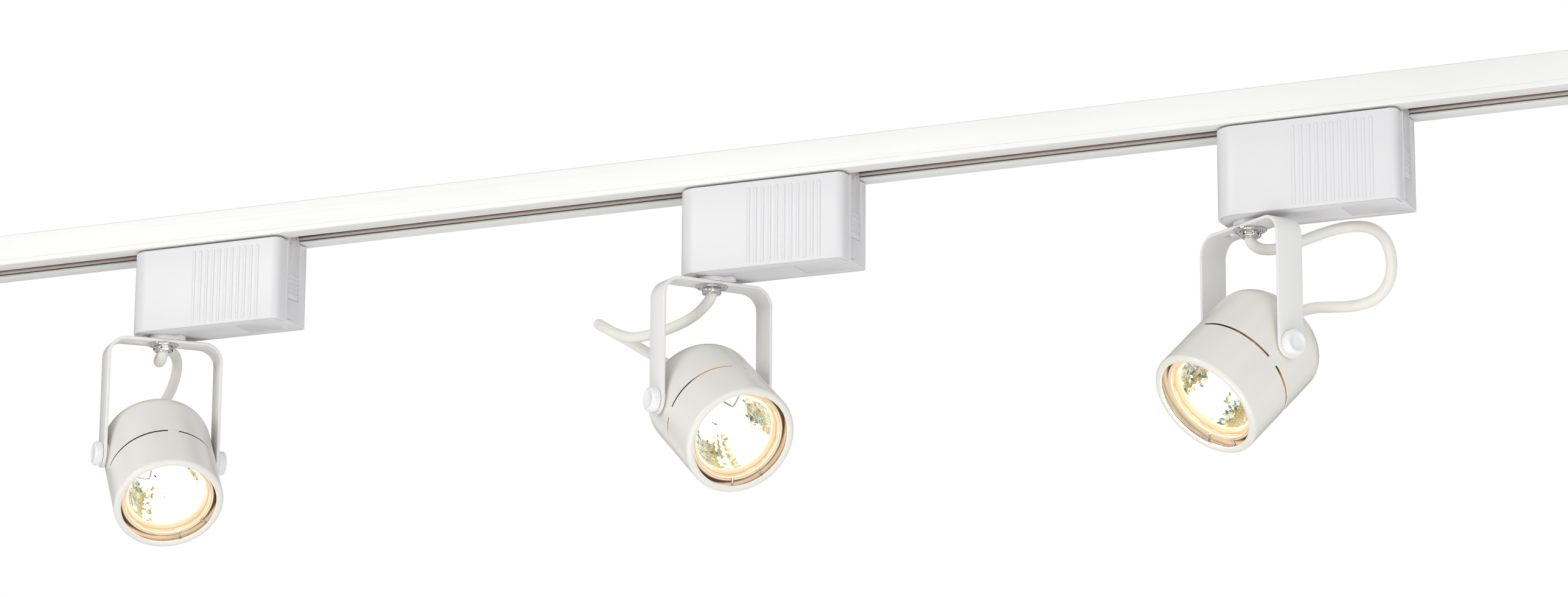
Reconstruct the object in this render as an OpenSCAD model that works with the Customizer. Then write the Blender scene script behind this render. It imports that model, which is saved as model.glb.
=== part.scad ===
// One-circuit ceiling track with three low-voltage spot heads.
// The origin is the middle of the track's ceiling face, +X runs along the track,
// -Y is the front and everything hangs below z = 0.

/* [Track] */
// Length of the track extrusion
track_len = 1219; // [1100:1:2400]
// Width of the track
track_w = 36; // [34:0.5:40]
// Height of the track
track_h = 17; // [16:0.5:22]
// Thickness of the track's web and side walls
track_wall = 1.6; // [1.2:0.1:2]
// Thickness of the lips beside the slot
lip_t = 1.2; // [1:0.1:1.5]
// Width of the slot that the adapters enter
slot_w = 13.2; // [13:0.1:14]
// Diameter of the ceiling screw holes
screw_hole_d = 5; // [4:0.5:6]

/* [Spots] */
// Pan axis of the left spot along the track
spot_x1 = -344.4; // [-420:0.1:-300]
// Pan axis of the middle spot along the track
spot_x2 = -10; // [-40:1:40]
// Pan axis of the right spot along the track
spot_x3 = 285; // [260:1:400]
// Turn of the left spot about its vertical axis, in degrees
pan_1 = 46; // [-140:1:140]
// Turn of the middle spot
pan_2 = 54; // [-140:1:140]
// Turn of the right spot
pan_3 = -34; // [-140:1:140]
// Aim of the left spot below the horizontal, in degrees
tilt_1 = 48; // [5:1:95]
// Aim of the middle spot
tilt_2 = 36; // [5:1:95]
// Aim of the right spot
tilt_3 = 44; // [5:1:95]

/* [Adapter housing] */
// Length of the transformer housing
box_len = 95.6; // [92:0.1:115]
// Distance from the housing's left end to the pan axis
box_lead = 14.1; // [14:0.1:18]
// Front-to-back depth of the housing
box_depth = 32; // [30:0.5:36]
// Height of the housing
box_h = 45.4; // [42:0.2:60]
// Wall thickness of the housing shells
box_wall = 1.8; // [1.5:0.1:2.2]
// Number of raised ribs on the front cover
rib_count = 11; // [3:1:12]
// Distance between the ribs
rib_pitch = 4; // [3:0.1:4]

/* [Yoke] */
// Clear width between the yoke's arms
yoke_in = 60.8; // [60.8:0.2:66]
// Width of the steel strap
strap_w = 15; // [12:0.5:18]
// Thickness of the steel strap
strap_t = 1.6; // [1.2:0.1:2]
// Outer bend radius of the strap
bend_r = 10.5; // [6:0.5:12]
// Distance from the top of the yoke down to the tilt axis
yoke_drop = 65.4; // [62:0.2:75]

/* [Spot head] */
// Outer diameter of the spot head
head_d = 59.2; // [58:0.2:59.4]
// Wall thickness of the head's shells
head_wall = 1.3; // [1:0.1:1.5]
// Distance from the tilt axis to the front rim
head_front = 41.4; // [40:0.2:50]
// Distance from the tilt axis to the flat rear
head_rear = 23.5; // [23:0.5:30]
// Inside diameter of the rolled front rim
rim_d = 51.6; // [51:0.2:52.4]
// Width of the cooling slot between the two shells
vent_gap = 1; // [0.6:0.1:1.4]
// Number of vent holes around the rear
vent_count = 12; // [6:1:16]

/* [Lamp] */
// Rim diameter of the reflector lamp
lamp_d = 50; // [49:0.5:51]
// Distance from the tilt axis to the lamp's front glass
lamp_front = 36.5; // [35:0.5:37]

/* [Knobs and cable] */
// Diameter of the tilt knobs
knob_d = 13; // [10:0.5:15]
// Thickness of the tilt knobs
knob_t = 4.6; // [4:0.2:7]
// Diameter of the sleeved lamp cable
cable_d = 5.6; // [5.2:0.1:6.4]

/* [Hidden] */
$fn = 64;
tiny = 0.01;

// spot arrays
spot_x = [spot_x1, spot_x2, spot_x3];
pan = [pan_1, pan_2, pan_3];
tilt = [tilt_1, tilt_2, tilt_3];
spots = [0, 1, 2];

// track levels
slot_half = slot_w / 2;
lip_top = lip_t - track_h;
inner_half = track_w / 2 - track_wall;
foot_z = lip_top + 0.7;
foot_t = 1.1;
foot_end = 7;
strip_t = 3;
copper_z = -9;
copper_h = 5;
copper_t = 1;
screw_rows = [-450, -150, 150, 450];
polarity_y = 12.1;
cap_t = 3.5;
plug_len = 10;
feed_len = 62;
feed_tongue = 24;
feed_w = 38;
feed_h = 21;
knockout_d = 22.3;
pole_y = 13;
pole_reach = 10;
hairline = 0.02;

// housing levels
box_gap = 1;
box_top = -track_h - box_gap;
box_bot = box_top - box_h;
box_left = -box_lead;
box_right = box_len - box_lead;
box_front = -box_depth / 2 - 0.5;
box_back = box_front + box_depth;
seam_y = -6;
corner_front_left = 12;
corner_front_right = 4;
corner_back = 3;
fit = 0.1;
gap = 0.3;
rib_w = 1.6;
rib_proud = 0.5;
rib_first = 28.7;
rib_top = box_top - 4.4;
rib_bottom = box_bot + 1.6;
bead_w = 0.9;
bead_proud = 0.35;
panel_x = [50.3, 71.5];
panel_y = [-8.5, 10];
groove_w = 0.5;
groove_d = 0.35;
neck_half = 6;
neck_x = 2;
neck_top = -13.4;
head_block_x = 24;
head_block_len = 26;
wing_half = 11.3;
blade_tip = 13.55;
wing_z = foot_z + foot_t + 0.5;

// latch lever
latch_y = [-4.9, 5.7];
latch_z = [-50, -19.2];
latch_t = 1.6;
latch_pivot = [box_right - 2.9, -31];
latch_pin_d = 2;
grip_count = 5;
grip_pitch = 2.55;
grip_top = -37.3;
hook_y = [-1.6, 3.6];
ear_t = 2.4;

// cover screws, as [x, z]
cover_screws = [[-8, -26], [71.5, -57.6]];
screw_d = 2.5;
screw_head_d = 5;
screw_head_t = 1.8;

// swivel levels
disc_r = 8.3;
disc_t = 2.4;
disc_bot = box_bot - disc_t;
stop_r = 13;
stop_w = 4.8;
shank_d = 10;
web_top = disc_bot - 0.1;
web_bot = web_top - strap_t;
pivot_z = web_top - yoke_drop;
flange_r = 8.4;
flange_t = 1;
hex_d = 12.6;
hex_t = 3.4;
nipple_bore = 7;
nipple_end = web_bot - flange_t - hex_t;
strap_slot = [7.4, 4.6];
strap_slot_x = -15;
stop_tab_x = -10.6;
stop_tab = [1.4, 4.4];

// head frame: +Z runs forward along the beam, X is the tilt axis
head_r = head_d / 2;
inner_r = head_r - head_wall;
gap_front = 14.2;
gap_rear = gap_front - vent_gap;
rear_corner = 13;
bridge_w = 6;
vent_d = 2.4;
vent_ring = 23.5;
screw_shaft_d = 4;
arm_hole_d = 4.2;
boss_hole_d = 4.1;
boss_r = 4.5;
pad_r = 6;
gland_d = 7.4;
knob_ribs = 32;
clip_turn = [134, 118, 66];
clip_spread = 18;
clip_r = 27.6;
clip_wire = 0.6;
clip_bend = 19;
clip_z = 38.3;
pin_spacing = 5.33;
socket_rear = 18;

// cable routes from each nipple to the rear of its head, measured from the pan
// axis in the directions of the track's own frame, at the spots' resting aim
routes = [
    [[0, 0, -68], [0, 0, -71.8], [-1, 1, -74.5], [-3.6, 3.5, -76], [-6.9, 7, -75.2],
     [-9.5, 11.2, -72.4], [-11.2, 15.8, -69.2], [-11.9, 20.4, -66.4], [-11.5, 24.8, -64.9],
     [-10.2, 28, -66.6], [-9, 28.8, -70.8], [-8.4, 27.6, -76.4], [-8.4, 25.8, -82],
     [-9.2, 24, -87.4], [-10.8, 22, -92.8], [-12.8, 19.8, -98.8], [-15, 17, -105],
     [-13.7, 13.3, -110], [-11.3, 10.9, -113.7], [-8.9, 8.6, -117.5]],
    [[0, 0, -68], [0, 0, -71.8], [-1.8, 0.3, -75], [-5.6, 1.2, -78.2], [-11, 2.8, -81.2],
     [-18.5, 4.8, -83.8], [-28, 6.8, -86], [-40, 9, -87.6], [-53, 12, -87.2], [-65, 16, -82.4],
     [-75, 22, -76.6], [-81, 30, -73.6], [-80, 39, -74.6], [-72, 44.5, -79.6], [-61, 43.5, -86.6],
     [-50, 37.5, -92.8], [-39.5, 29, -99.6], [-29, 20.8, -107], [-20, 14.5, -113.4],
     [-15.4, 11.2, -117.4], [-12.1, 8.8, -120.3]],
    [[0, 0, -68], [0, 0, -72.2], [1.3, 0.5, -75], [4.6, 2.3, -77.2], [9.6, 5.1, -77.4],
     [15.6, 9, -75.6], [22.4, 13.6, -72.4], [30.7, 17.6, -68.8], [39.2, 20, -66.4],
     [48, 21.2, -65.8], [56, 21.2, -67.8], [62, 20.8, -73.1], [65.2, 20.4, -80.9],
     [65.8, 20.2, -89.2], [63.8, 20.3, -96.6], [59, 20.8, -102.2], [52, 21.6, -105],
     [43.1, 22.8, -105.6], [34, 24, -104.8], [26, 24.4, -104.2], [19.8, 23, -105.2],
     [15.2, 20.4, -107.8], [12, 17.7, -110.8], [9.45, 14, -114.9], [7.4, 11, -118.3]]
];
ring_sides = 10;
ring_steps = 2;

// ---- frames ----

// Places children at a spot's pan axis
module at_spot(i) {
    translate([spot_x[i], 0, 0]) children();
}

// Turns children with a spot's yoke
module at_yoke(i) {
    at_spot(i) rotate([0, 0, pan[i]]) children();
}

// Turns children with a spot's head: +Z forward, X along the tilt axis
module at_head(i) {
    at_yoke(i) translate([0, 0, pivot_z]) rotate([90 + tilt[i], 0, 0]) children();
}

// Extrudes a drawing of (y, z) along the track from x0 to x1
module along_track(x0, x1) {
    translate([x0, 0, 0]) rotate([90, 0, 90]) linear_extrude(x1 - x0) children();
}

// A box given by its lowest and highest corners
module block(low, high) {
    translate(low) cube(high - low);
}

// A rectangle with a radius for each corner, counted from the lower left
module rounded(low, high, radii) {
    corners = [low, [high[0], low[1]], high, [low[0], high[1]]];
    inward = [[1, 1], [-1, 1], [-1, -1], [1, -1]];
    difference() {
        translate(low) square(high - low);
        for (k = [0:3]) {
            if (radii[k] > 0) translate(corners[k]) scale_corner(inward[k], radii[k]);
        }
    }
}

// The sliver outside a rounded corner
module scale_corner(inward, r) {
    mirror([inward[0] < 0 ? 1 : 0, 0]) mirror([0, inward[1] < 0 ? 1 : 0]) difference() {
        translate([-1, -1]) square(r + 1);
        translate([r, r]) circle(r);
    }
}

// ---- track ----

// Section of the extrusion as a web, two walls and two lips a hairline apart, so
// that each is a plain bar and the slot between them stays open
module track_profile() {
    half = track_w / 2;
    translate([-inner_half, -track_wall]) square([2 * inner_half, track_wall]);
    for (side = [0, 1]) mirror([side, 0]) {
        difference() {
            rounded([inner_half + hairline, lip_top + hairline], [half, 0], [0, 0, 0.6, 0]);
            translate([half - 0.25, -track_h * 0.83 - 0.2]) square([0.5, 0.4]);
        }
        difference() {
            rounded([slot_half, -track_h], [half, lip_top], [0, 0.6, 0, 0]);
            if (side == 0) translate([polarity_y - 0.2, -track_h - 0.1]) square([0.4, 0.3]);
        }
    }
}

module track() {
    color("whitesmoke") difference() {
        along_track(-track_len / 2, track_len / 2) track_profile();
        for (x = screw_rows) {
            translate([x, 0, -track_wall - 1]) cylinder(d = screw_hole_d, h = track_wall + 2);
        }
    }
}

// One insulator with its foot and the groove for the conductor
module insulator_profile() {
    difference() {
        union() {
            translate([inner_half - strip_t, foot_z]) square([strip_t, -track_wall - 0.4 - foot_z]);
            translate([foot_end, foot_z]) square([inner_half - foot_end, foot_t]);
        }
        translate([inner_half - strip_t - 1, copper_z - copper_h / 2])
            square([copper_t + 1.2, copper_h]);
    }
}

module track_insulators() {
    color("linen") along_track(-track_len / 2 + plug_len + 1, track_len / 2 - feed_tongue - 1)
        for (side = [0, 1]) mirror([side, 0]) insulator_profile();
}

module track_conductors() {
    color("peru") along_track(-track_len / 2 + plug_len + 2, track_len / 2 - feed_tongue - 2)
        for (side = [0, 1]) mirror([side, 0])
            translate([inner_half - strip_t + 0.2, copper_z - copper_h / 2]) square([copper_t, copper_h]);
}

module end_cap() {
    end = -track_len / 2;
    color("whitesmoke") {
        along_track(end - cap_t, end)
            rounded([-track_w / 2, -track_h], [track_w / 2, 0], [1.5, 1.5, 0.6, 0.6]);
        block([end - tiny, -inner_half + fit, lip_top + fit],
              [end + plug_len, inner_half - fit, -track_wall - fit]);
    }
}

module feed_housing() {
    start = track_len / 2;
    color("whitesmoke") difference() {
        union() {
            along_track(start, start + feed_len)
                rounded([-feed_w / 2, -feed_h], [feed_w / 2, 0], [2.5, 2.5, 0.6, 0.6]);
            block([start - feed_tongue, -inner_half + fit, lip_top + fit],
                  [start + 2, inner_half - fit, -track_wall - fit]);
        }
        block([start + 3, -feed_w / 2 + 2, -feed_h + 2], [start + feed_len - 2.5, feed_w / 2 - 2, -2]);
        translate([start + feed_len / 2 + 6, 0, -3]) cylinder(d = knockout_d, h = 4);
        for (side = [-1, 1]) {
            block([start - feed_tongue - 1, side * pole_y - 0.6, copper_z - 2],
                  [start + 3.5, side * pole_y + 0.6, copper_z + 2]);
        }
    }
}

module feed_terminals() {
    start = track_len / 2;
    color("darkgoldenrod") for (side = [-1, 1]) {
        block([start - feed_tongue - pole_reach, side * pole_y - 0.6, copper_z - 2],
              [start + 6, side * pole_y + 0.6, copper_z + 2]);
        difference() {
            translate([start + 5.9, side * pole_y - 3.5, copper_z - 3.5]) cube([12.1, 7, 7]);
            translate([start + 11, side * pole_y, copper_z]) rotate([0, 90, 0]) cylinder(d = 3, h = 10);
        }
        translate([start + 12, side * pole_y, copper_z - 5]) cylinder(d = 4, h = 2);
    }
}

// ---- adapter ----

// Plan outline of the housing, drawn inward by inset
module box_outline(inset = 0) {
    rounded([box_left + inset, box_front + inset], [box_right - inset, box_back - inset],
            [corner_front_left - inset, corner_front_right - inset,
             corner_back - inset / 2, corner_back - inset / 2]);
}

// A layer of the housing between two heights
module box_layer(low, high, inset = 0) {
    translate([0, 0, low]) linear_extrude(high - low) box_outline(inset);
}

module box_ribs() {
    for (k = [0:rib_count - 1]) translate([rib_first + k * rib_pitch, box_front, 0]) {
        block([-rib_w / 2, -rib_proud, rib_bottom], [rib_w / 2, 0.3, rib_top]);
        translate([0, 0.3, rib_top]) rotate([90, 0, 0]) cylinder(d = rib_w, h = rib_proud + 0.3);
    }
}

module adapter_cover(i) {
    color("white") at_spot(i) difference() {
        union() {
            intersection() {
                difference() {
                    box_layer(box_bot, box_top);
                    box_layer(box_bot - 1, box_top - box_wall, box_wall);
                }
                block([box_left - 1, box_front - 1, box_bot - 1],
                      [box_right + 1, seam_y - 0.05, box_top + 1]);
            }
            box_ribs();
            block([box_right - 1, seam_y - bead_w - 0.05, box_bot + 1],
                  [box_right + bead_proud, seam_y - 0.05, box_top]);
            intersection() {
                box_layer(box_bot, box_top, 0.5);
                for (s = cover_screws) {
                    translate([s[0], box_front, s[1]]) rotate([-90, 0, 0])
                        cylinder(d = 6, h = -box_front - 1);
                }
            }
        }
        for (s = cover_screws) {
            translate([s[0], box_front + 6, s[1]]) rotate([-90, 0, 0]) cylinder(d = screw_d, h = 20);
        }
    }
}

// Neck that rises into the track's slot
module neck() {
    along_track(neck_x, box_right - 0.2) polygon([
        [-neck_half, box_top - box_wall], [neck_half, box_top - box_wall], [neck_half, -15.6],
        [3.8, neck_top], [-3.8, neck_top], [-neck_half, -15.6]
    ]);
}

module latch_ears() {
    for (y = [hook_y[0] - gap - ear_t, hook_y[1] + gap]) {
        block([latch_pivot[0] - 2.2, y, latch_pivot[1] - 2.5], [box_right - 2.1, y + ear_t, box_top - 1]);
    }
}

module adapter_back(i) {
    color("white") at_spot(i) difference() {
        union() {
            intersection() {
                difference() {
                    box_layer(box_bot, box_top);
                    box_layer(box_bot + box_wall, box_top - box_wall, box_wall);
                }
                block([box_left - 1, seam_y, box_bot - 1], [box_right + 1, box_back + 1, box_top + 1]);
            }
            intersection() {
                box_layer(box_bot, box_bot + box_wall, box_wall + fit);
                block([box_left, box_front, box_bot - 1], [box_right, seam_y + 1, box_bot + 3]);
            }
            neck();
            latch_ears();
            for (s = cover_screws) {
                translate([s[0], box_back - 1, s[1]]) rotate([90, 0, 0])
                    cylinder(d = 6.4, h = box_back - 1.2);
            }
        }
        // window for the latch lever, its notch in the neck and its pin
        block([box_right - 2, latch_y[0] - gap, latch_z[0] - gap],
              [box_right + 1, latch_y[1] + gap, -18.9]);
        block([box_right - 4.6, hook_y[0] - gap, -36], [box_right + 1, hook_y[1] + gap, -12]);
        translate([latch_pivot[0], -9, latch_pivot[1]]) rotate([-90, 0, 0])
            cylinder(d = latch_pin_d + 0.1, h = 20);
        // seat for the contact head
        block([head_block_x - 0.2, -8, box_top - box_wall - 1],
              [head_block_x + head_block_len + 0.2, neck_half + tiny, -12]);
        // swivel bore
        translate([0, 0, box_bot - 1]) cylinder(d = shank_d + 0.6, h = box_wall + 2);
        // outline of the wiring panel on the underside
        block([panel_x[0], panel_y[0], box_bot - 1],
              [panel_x[0] + groove_w, panel_y[1], box_bot + groove_d]);
        block([panel_x[0], panel_y[1] - groove_w, box_bot - 1],
              [panel_x[1], panel_y[1], box_bot + groove_d]);
        // release slot low on the end face
        block([box_right - 0.8, seam_y + 1.2, box_bot + 1.6],
              [box_right + 1, seam_y + 5.4, box_bot + 2.3]);
        for (s = cover_screws) {
            translate([s[0], box_back + 1, s[1]]) rotate([90, 0, 0]) cylinder(d = 2.9, h = 30);
            translate([s[0], box_back + 1, s[1]]) rotate([90, 0, 0])
                cylinder(d = screw_head_d + 0.4, h = 3.2);
        }
    }
}

module cover_screws(i) {
    color("silver") at_spot(i) for (s = cover_screws) translate([s[0], 0, s[1]]) difference() {
        union() {
            translate([0, box_back - 2.2, 0]) rotate([-90, 0, 0])
                cylinder(d = screw_head_d, h = screw_head_t);
            translate([0, box_front + 7, 0]) rotate([-90, 0, 0])
                cylinder(d = screw_d, h = box_back - box_front - 9);
        }
        for (turn = [0, 90]) {
            translate([0, box_back - 0.4, 0]) rotate([0, turn, 0]) cube([2.8, 1.6, 0.6], center = true);
        }
    }
}

module contact_head(i) {
    x0 = head_block_x;
    x1 = head_block_x + head_block_len;
    color("gainsboro") at_spot(i) difference() {
        union() {
            block([x0, -neck_half + 0.2, box_top - 5], [x1, neck_half - 0.2, wing_z + 1]);
            translate([(x0 + x1) / 2, 0, wing_z]) linear_extrude(4.6)
                rounded([-11, -wing_half], [11, wing_half], [5, 5, 5, 5]);
        }
        for (side = [-1, 1]) for (x = [-6, 6]) {
            block([(x0 + x1) / 2 + x - 2.1, side * 8 - 1.1, wing_z + 1.2],
                  [(x0 + x1) / 2 + x + 2.1, side * 8 + 1.1, wing_z + 6]);
        }
    }
}

// Sprung contact leaves standing in the contact head
module contact_blades(i) {
    middle = head_block_x + head_block_len / 2;
    color("goldenrod") at_spot(i) for (side = [-1, 1]) for (x = [-6, 6]) {
        block([middle + x - 2, side * 8 - 1, wing_z + 1.3], [middle + x + 2, side * 8 + 1, -7.6]);
        block([middle + x - 2, min(side * 7.2, side * blade_tip), -8.4],
              [middle + x + 2, max(side * 7.2, side * blade_tip), -7.5]);
    }
}

module latch_lever(i) {
    face = box_right - 0.15;
    color("white") at_spot(i) {
        difference() {
            union() {
                block([face - latch_t, latch_y[0], latch_z[0]], [face, latch_y[1], latch_z[1]]);
                for (k = [0:grip_count - 1]) {
                    block([face - 0.5, latch_y[0] + 0.2, grip_top - k * grip_pitch - 0.45],
                          [face + 0.6, latch_y[1] - 0.4, grip_top - k * grip_pitch + 0.45]);
                }
                block([face - 3.2, hook_y[0], -29], [face, hook_y[1], -16.2]);
                block([face - 3.2, hook_y[0], -16.6], [face - 0.6, hook_y[1], -12.8]);
                translate([latch_pivot[0], hook_y[0], latch_pivot[1]]) rotate([-90, 0, 0])
                    cylinder(d = 4.4, h = hook_y[1] - hook_y[0]);
            }
            block([face - 0.5, -2.9, -28], [face + 1, -2.4, latch_z[1] + 1]);
        }
        translate([latch_pivot[0], hook_y[0] - ear_t, latch_pivot[1]]) rotate([-90, 0, 0])
            cylinder(d = latch_pin_d, h = hook_y[1] - hook_y[0] + 2 * ear_t);
    }
}

module transformer(i) {
    color("dimgray") at_spot(i) {
        translate([0, 0, box_bot + box_wall]) {
            block([15, -12, 0], [66, 10, 1.6]);
            block([17, -11, 1.5], [46, 9, 29]);
            translate([56, -1, 1.5]) difference() {
                cylinder(d = 17, h = 12);
                translate([0, 0, 2]) cylinder(d = 7, h = 11);
            }
            block([49, -11, 1.5], [63, -9.8, 28]);
        }
    }
}

module swivel_disc(i) {
    color("white") at_spot(i) translate([0, 0, disc_bot]) difference() {
        union() {
            cylinder(r = disc_r, h = disc_t);
            block([disc_r - 1.5, -stop_w / 2, 0], [stop_r, stop_w / 2, disc_t]);
        }
        translate([0, 0, -1]) cylinder(d = shank_d + 0.1, h = disc_t + 2);
    }
}

// ---- swivel and yoke ----

module swivel_nipple(i) {
    nut_z = box_bot + box_wall + 0.15;
    color("silver") at_yoke(i) difference() {
        union() {
            translate([0, 0, web_bot - 1]) cylinder(d = shank_d, h = nut_z + 4 - web_bot + 1);
            translate([0, 0, nut_z]) cylinder(r = 7.5, h = 2.6);
            translate([0, 0, web_bot - flange_t]) cylinder(r = flange_r, h = flange_t);
            translate([0, 0, web_bot - flange_t - hex_t]) cylinder(d = hex_d, h = hex_t + 0.1, $fn = 6);
        }
        translate([0, 0, nipple_end - 1]) cylinder(d = nipple_bore, h = 30);
    }
}

// Folded strap seen from the front
module strap_profile() {
    half = yoke_in / 2 + strap_t;
    difference() {
        rounded([-half, pivot_z - strap_w], [half, web_top], [0, 0, bend_r, bend_r]);
        rounded([-half + strap_t, pivot_z - strap_w - 1], [half - strap_t, web_bot],
                [0, 0, bend_r - strap_t, bend_r - strap_t]);
    }
}

module yoke(i) {
    half = yoke_in / 2 + strap_t;
    color("white") at_yoke(i) difference() {
        union() {
            intersection() {
                rotate([90, 0, 0]) translate([0, 0, -strap_w / 2]) linear_extrude(strap_w) strap_profile();
                union() {
                    block([-half, -strap_w / 2, pivot_z], [half, strap_w / 2, web_top + 1]);
                    translate([-half, 0, pivot_z]) rotate([0, 90, 0]) cylinder(d = strap_w, h = 2 * half);
                }
            }
            block([stop_tab_x - stop_tab[0] / 2, -stop_tab[1] / 2, web_top - 0.5],
                  [stop_tab_x + stop_tab[0] / 2, stop_tab[1] / 2, web_top + 1.6]);
        }
        translate([0, 0, web_bot - 1]) cylinder(d = shank_d, h = strap_t + 1.5);
        block([strap_slot_x - strap_slot[0] / 2, -strap_slot[1] / 2, web_bot - 1],
              [strap_slot_x + strap_slot[0] / 2, strap_slot[1] / 2, web_top + 1]);
        translate([-half - 1, 0, pivot_z]) rotate([0, 90, 0]) cylinder(d = arm_hole_d, h = 2 * half + 2);
    }
}

// ---- cable ----

// A point on the smooth curve through points a, b, c and d, between b and c
function curve_point(a, b, c, d, t) =
    0.5 * (2 * b + (c - a) * t + (2 * a - 5 * b + 4 * c - d) * t * t + (3 * b - a - 3 * c + d) * t * t * t);

// The whole smooth curve through a route
function smooth(route) = let (last = len(route) - 1) concat(
    [for (k = [0:last - 1]) for (s = [0:ring_steps - 1])
        curve_point(route[max(k - 1, 0)], route[k], route[k + 1], route[min(k + 2, last)], s / ring_steps)],
    [route[last]]
);

function unit(v) = v / norm(v);

function heading(line, k) = unit(line[min(k + 1, len(line) - 1)] - line[max(k - 1, 0)]);

// Side directions carried along the line without twist
function sides_along(line, k = 0, side = [1, 0, 0]) =
    k == len(line) ? [] :
    let (ahead = heading(line, k), turned = unit(side - (side * ahead) * ahead))
    concat([turned], sides_along(line, k + 1, turned));

module tube(route, diameter) {
    line = smooth(route);
    sides = sides_along(line);
    rings = len(line);
    radius = diameter / 2;
    points = [for (k = [0:rings - 1]) let (u = sides[k], v = cross(heading(line, k), u))
        for (a = [0:ring_sides - 1])
            line[k] + radius * (cos(a * 360 / ring_sides) * u + sin(a * 360 / ring_sides) * v)];
    walls = [for (k = [0:rings - 2]) for (a = [0:ring_sides - 1]) let (b = (a + 1) % ring_sides)
        [k * ring_sides + a, (k + 1) * ring_sides + a, (k + 1) * ring_sides + b, k * ring_sides + b]];
    polyhedron(points, concat([[for (a = [0:ring_sides - 1]) a]], walls,
        [[for (a = [ring_sides - 1:-1:0]) (rings - 1) * ring_sides + a]]));
}

module cable(i) {
    color("ivory") at_spot(i) tube(routes[i], cable_d);
}

// ---- spot head ----

// Short blocks at the four bridges of the cooling slot
module at_bridges() {
    for (turn = [0:90:270]) rotate([0, 0, turn]) children();
}

module front_shell(i) {
    color("antiquewhite") at_head(i) {
        rotate_extrude() {
            translate([inner_r, gap_front]) square([head_wall, head_front - 2.2 - gap_front]);
            intersection() {
                translate([head_r - 2.2, head_front - 2.2]) circle(2.2);
                translate([head_r - 2.2, head_front - 2.2]) square(3);
            }
            translate([rim_d / 2 + 0.9, head_front - 1.8]) square([head_r - 2.2 - rim_d / 2 - 0.9, 1.8]);
            translate([head_r - 2.2, head_front - 2.3]) square([2.2, 0.2]);
            translate([rim_d / 2 + 0.9, head_front - 0.9]) circle(0.9);
        }
        at_bridges() intersection() {
            difference() {
                translate([0, 0, gap_rear - 4]) cylinder(r = head_r - tiny, h = vent_gap + 8);
                translate([0, 0, gap_rear - 5]) cylinder(r = inner_r - head_wall, h = vent_gap + 10);
                translate([0, 0, gap_rear - 5]) difference() {
                    cylinder(r = head_r + 1, h = 5);
                    cylinder(r = inner_r - 0.02, h = 5);
                }
            }
            block([inner_r - 8, -bridge_w / 2, gap_rear - 4], [head_r + 1, bridge_w / 2, gap_front + 3.5]);
        }
    }
}

// Half outline of the rear shell about the beam axis
module rear_outline(inset) {
    r = head_r - inset;
    low = -head_rear + inset;
    corner = rear_corner - inset;
    translate([0, low + corner]) square([r, gap_rear - low - corner + inset]);
    translate([0, low]) square([r - corner, corner + tiny]);
    intersection() {
        translate([r - corner, low + corner]) circle(corner);
        translate([r - corner, low]) square(corner);
    }
}

module rear_shell(i) {
    color("antiquewhite") at_head(i) difference() {
        union() {
            difference() {
                rotate_extrude() rear_outline(0);
                rotate_extrude() rear_outline(head_wall);
                translate([0, 0, gap_rear]) cylinder(r = head_r + 1, h = 5);
            }
            for (side = [0, 1]) mirror([side, 0, 0]) {
                translate([24.5, 0, 0]) rotate([0, 90, 0]) cylinder(r = boss_r, h = 4.5);
                translate([28.4, 0, 0]) rotate([0, 90, 0]) cylinder(r = pad_r, h = 1.7);
            }
        }
        translate([-40, 0, 0]) rotate([0, 90, 0]) cylinder(d = boss_hole_d, h = 80);
        translate([0, 0, -head_rear - 1]) cylinder(d = gland_d, h = 6);
        for (k = [0:vent_count - 1]) rotate([0, 0, (k + 0.5) * 360 / vent_count]) {
            translate([vent_ring, 0, -head_rear - 1]) cylinder(d = vent_d, h = 8);
        }
    }
}

// Profile of the lamp's bowl: an ellipse from the rim down to the neck
function bowl(rim, neck, top, bottom) =
    [for (a = [0:15:90]) [neck + (rim - neck) * cos(a), bottom + (top - bottom) * (1 - sin(a))]];

module lamp(i) {
    glass = lamp_d / 2;
    color("lightyellow") at_head(i) {
        difference() {
            rotate_extrude() polygon(concat(
                [[0, lamp_front], [glass, lamp_front], [glass, lamp_front - 3]],
                bowl(glass - 0.8, 8.5, lamp_front - 3, 8), [[0, 8]]));
            rotate_extrude() polygon(concat(
                [[0, lamp_front - 1.4]], bowl(glass - 2.6, 6, lamp_front - 1.4, 12), [[0, 12]]));
        }
        block([-8, -4.2, -2], [8, 4.2, 10]);
        for (side = [-1, 1]) translate([side * pin_spacing / 2, 0, -8]) cylinder(d = 1.5, h = 7);
    }
}

module lamp_socket(i) {
    color("ivory") at_head(i) difference() {
        union() {
            block([-9, -6, -socket_rear], [9, 6, -2.3]);
            block([-12, -5, -head_rear + head_wall], [12, 5, -socket_rear + 0.1]);
        }
        for (side = [-1, 1]) translate([side * pin_spacing / 2, 0, -10]) cylinder(d = 1.6, h = 9);
        translate([0, 0, -head_rear]) cylinder(d = gland_d, h = 8);
    }
}

// One straight bar of the clip, running outward from a point at an angle
module clip_bar(from, to) {
    half = clip_wire - 0.05;
    block([from, -half, -half], [to, half, half]);
}

module lamp_clip(i) {
    color("silver") at_head(i) translate([0, 0, clip_z]) {
        rotate_extrude() translate([clip_r - clip_wire, -clip_wire]) square(2 * clip_wire);
        for (turn = [180 - clip_spread, 180 + clip_spread]) rotate([0, 0, clip_turn[i] + turn])
            clip_bar(22.6, clip_r);
        for (side = [-1, 1]) {
            rotate([0, 0, clip_turn[i]]) translate([clip_bend, 0, 0]) rotate([0, 0, side * 41])
                clip_bar(0, 10.2);
        }
    }
}

// ---- knobs ----

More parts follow.
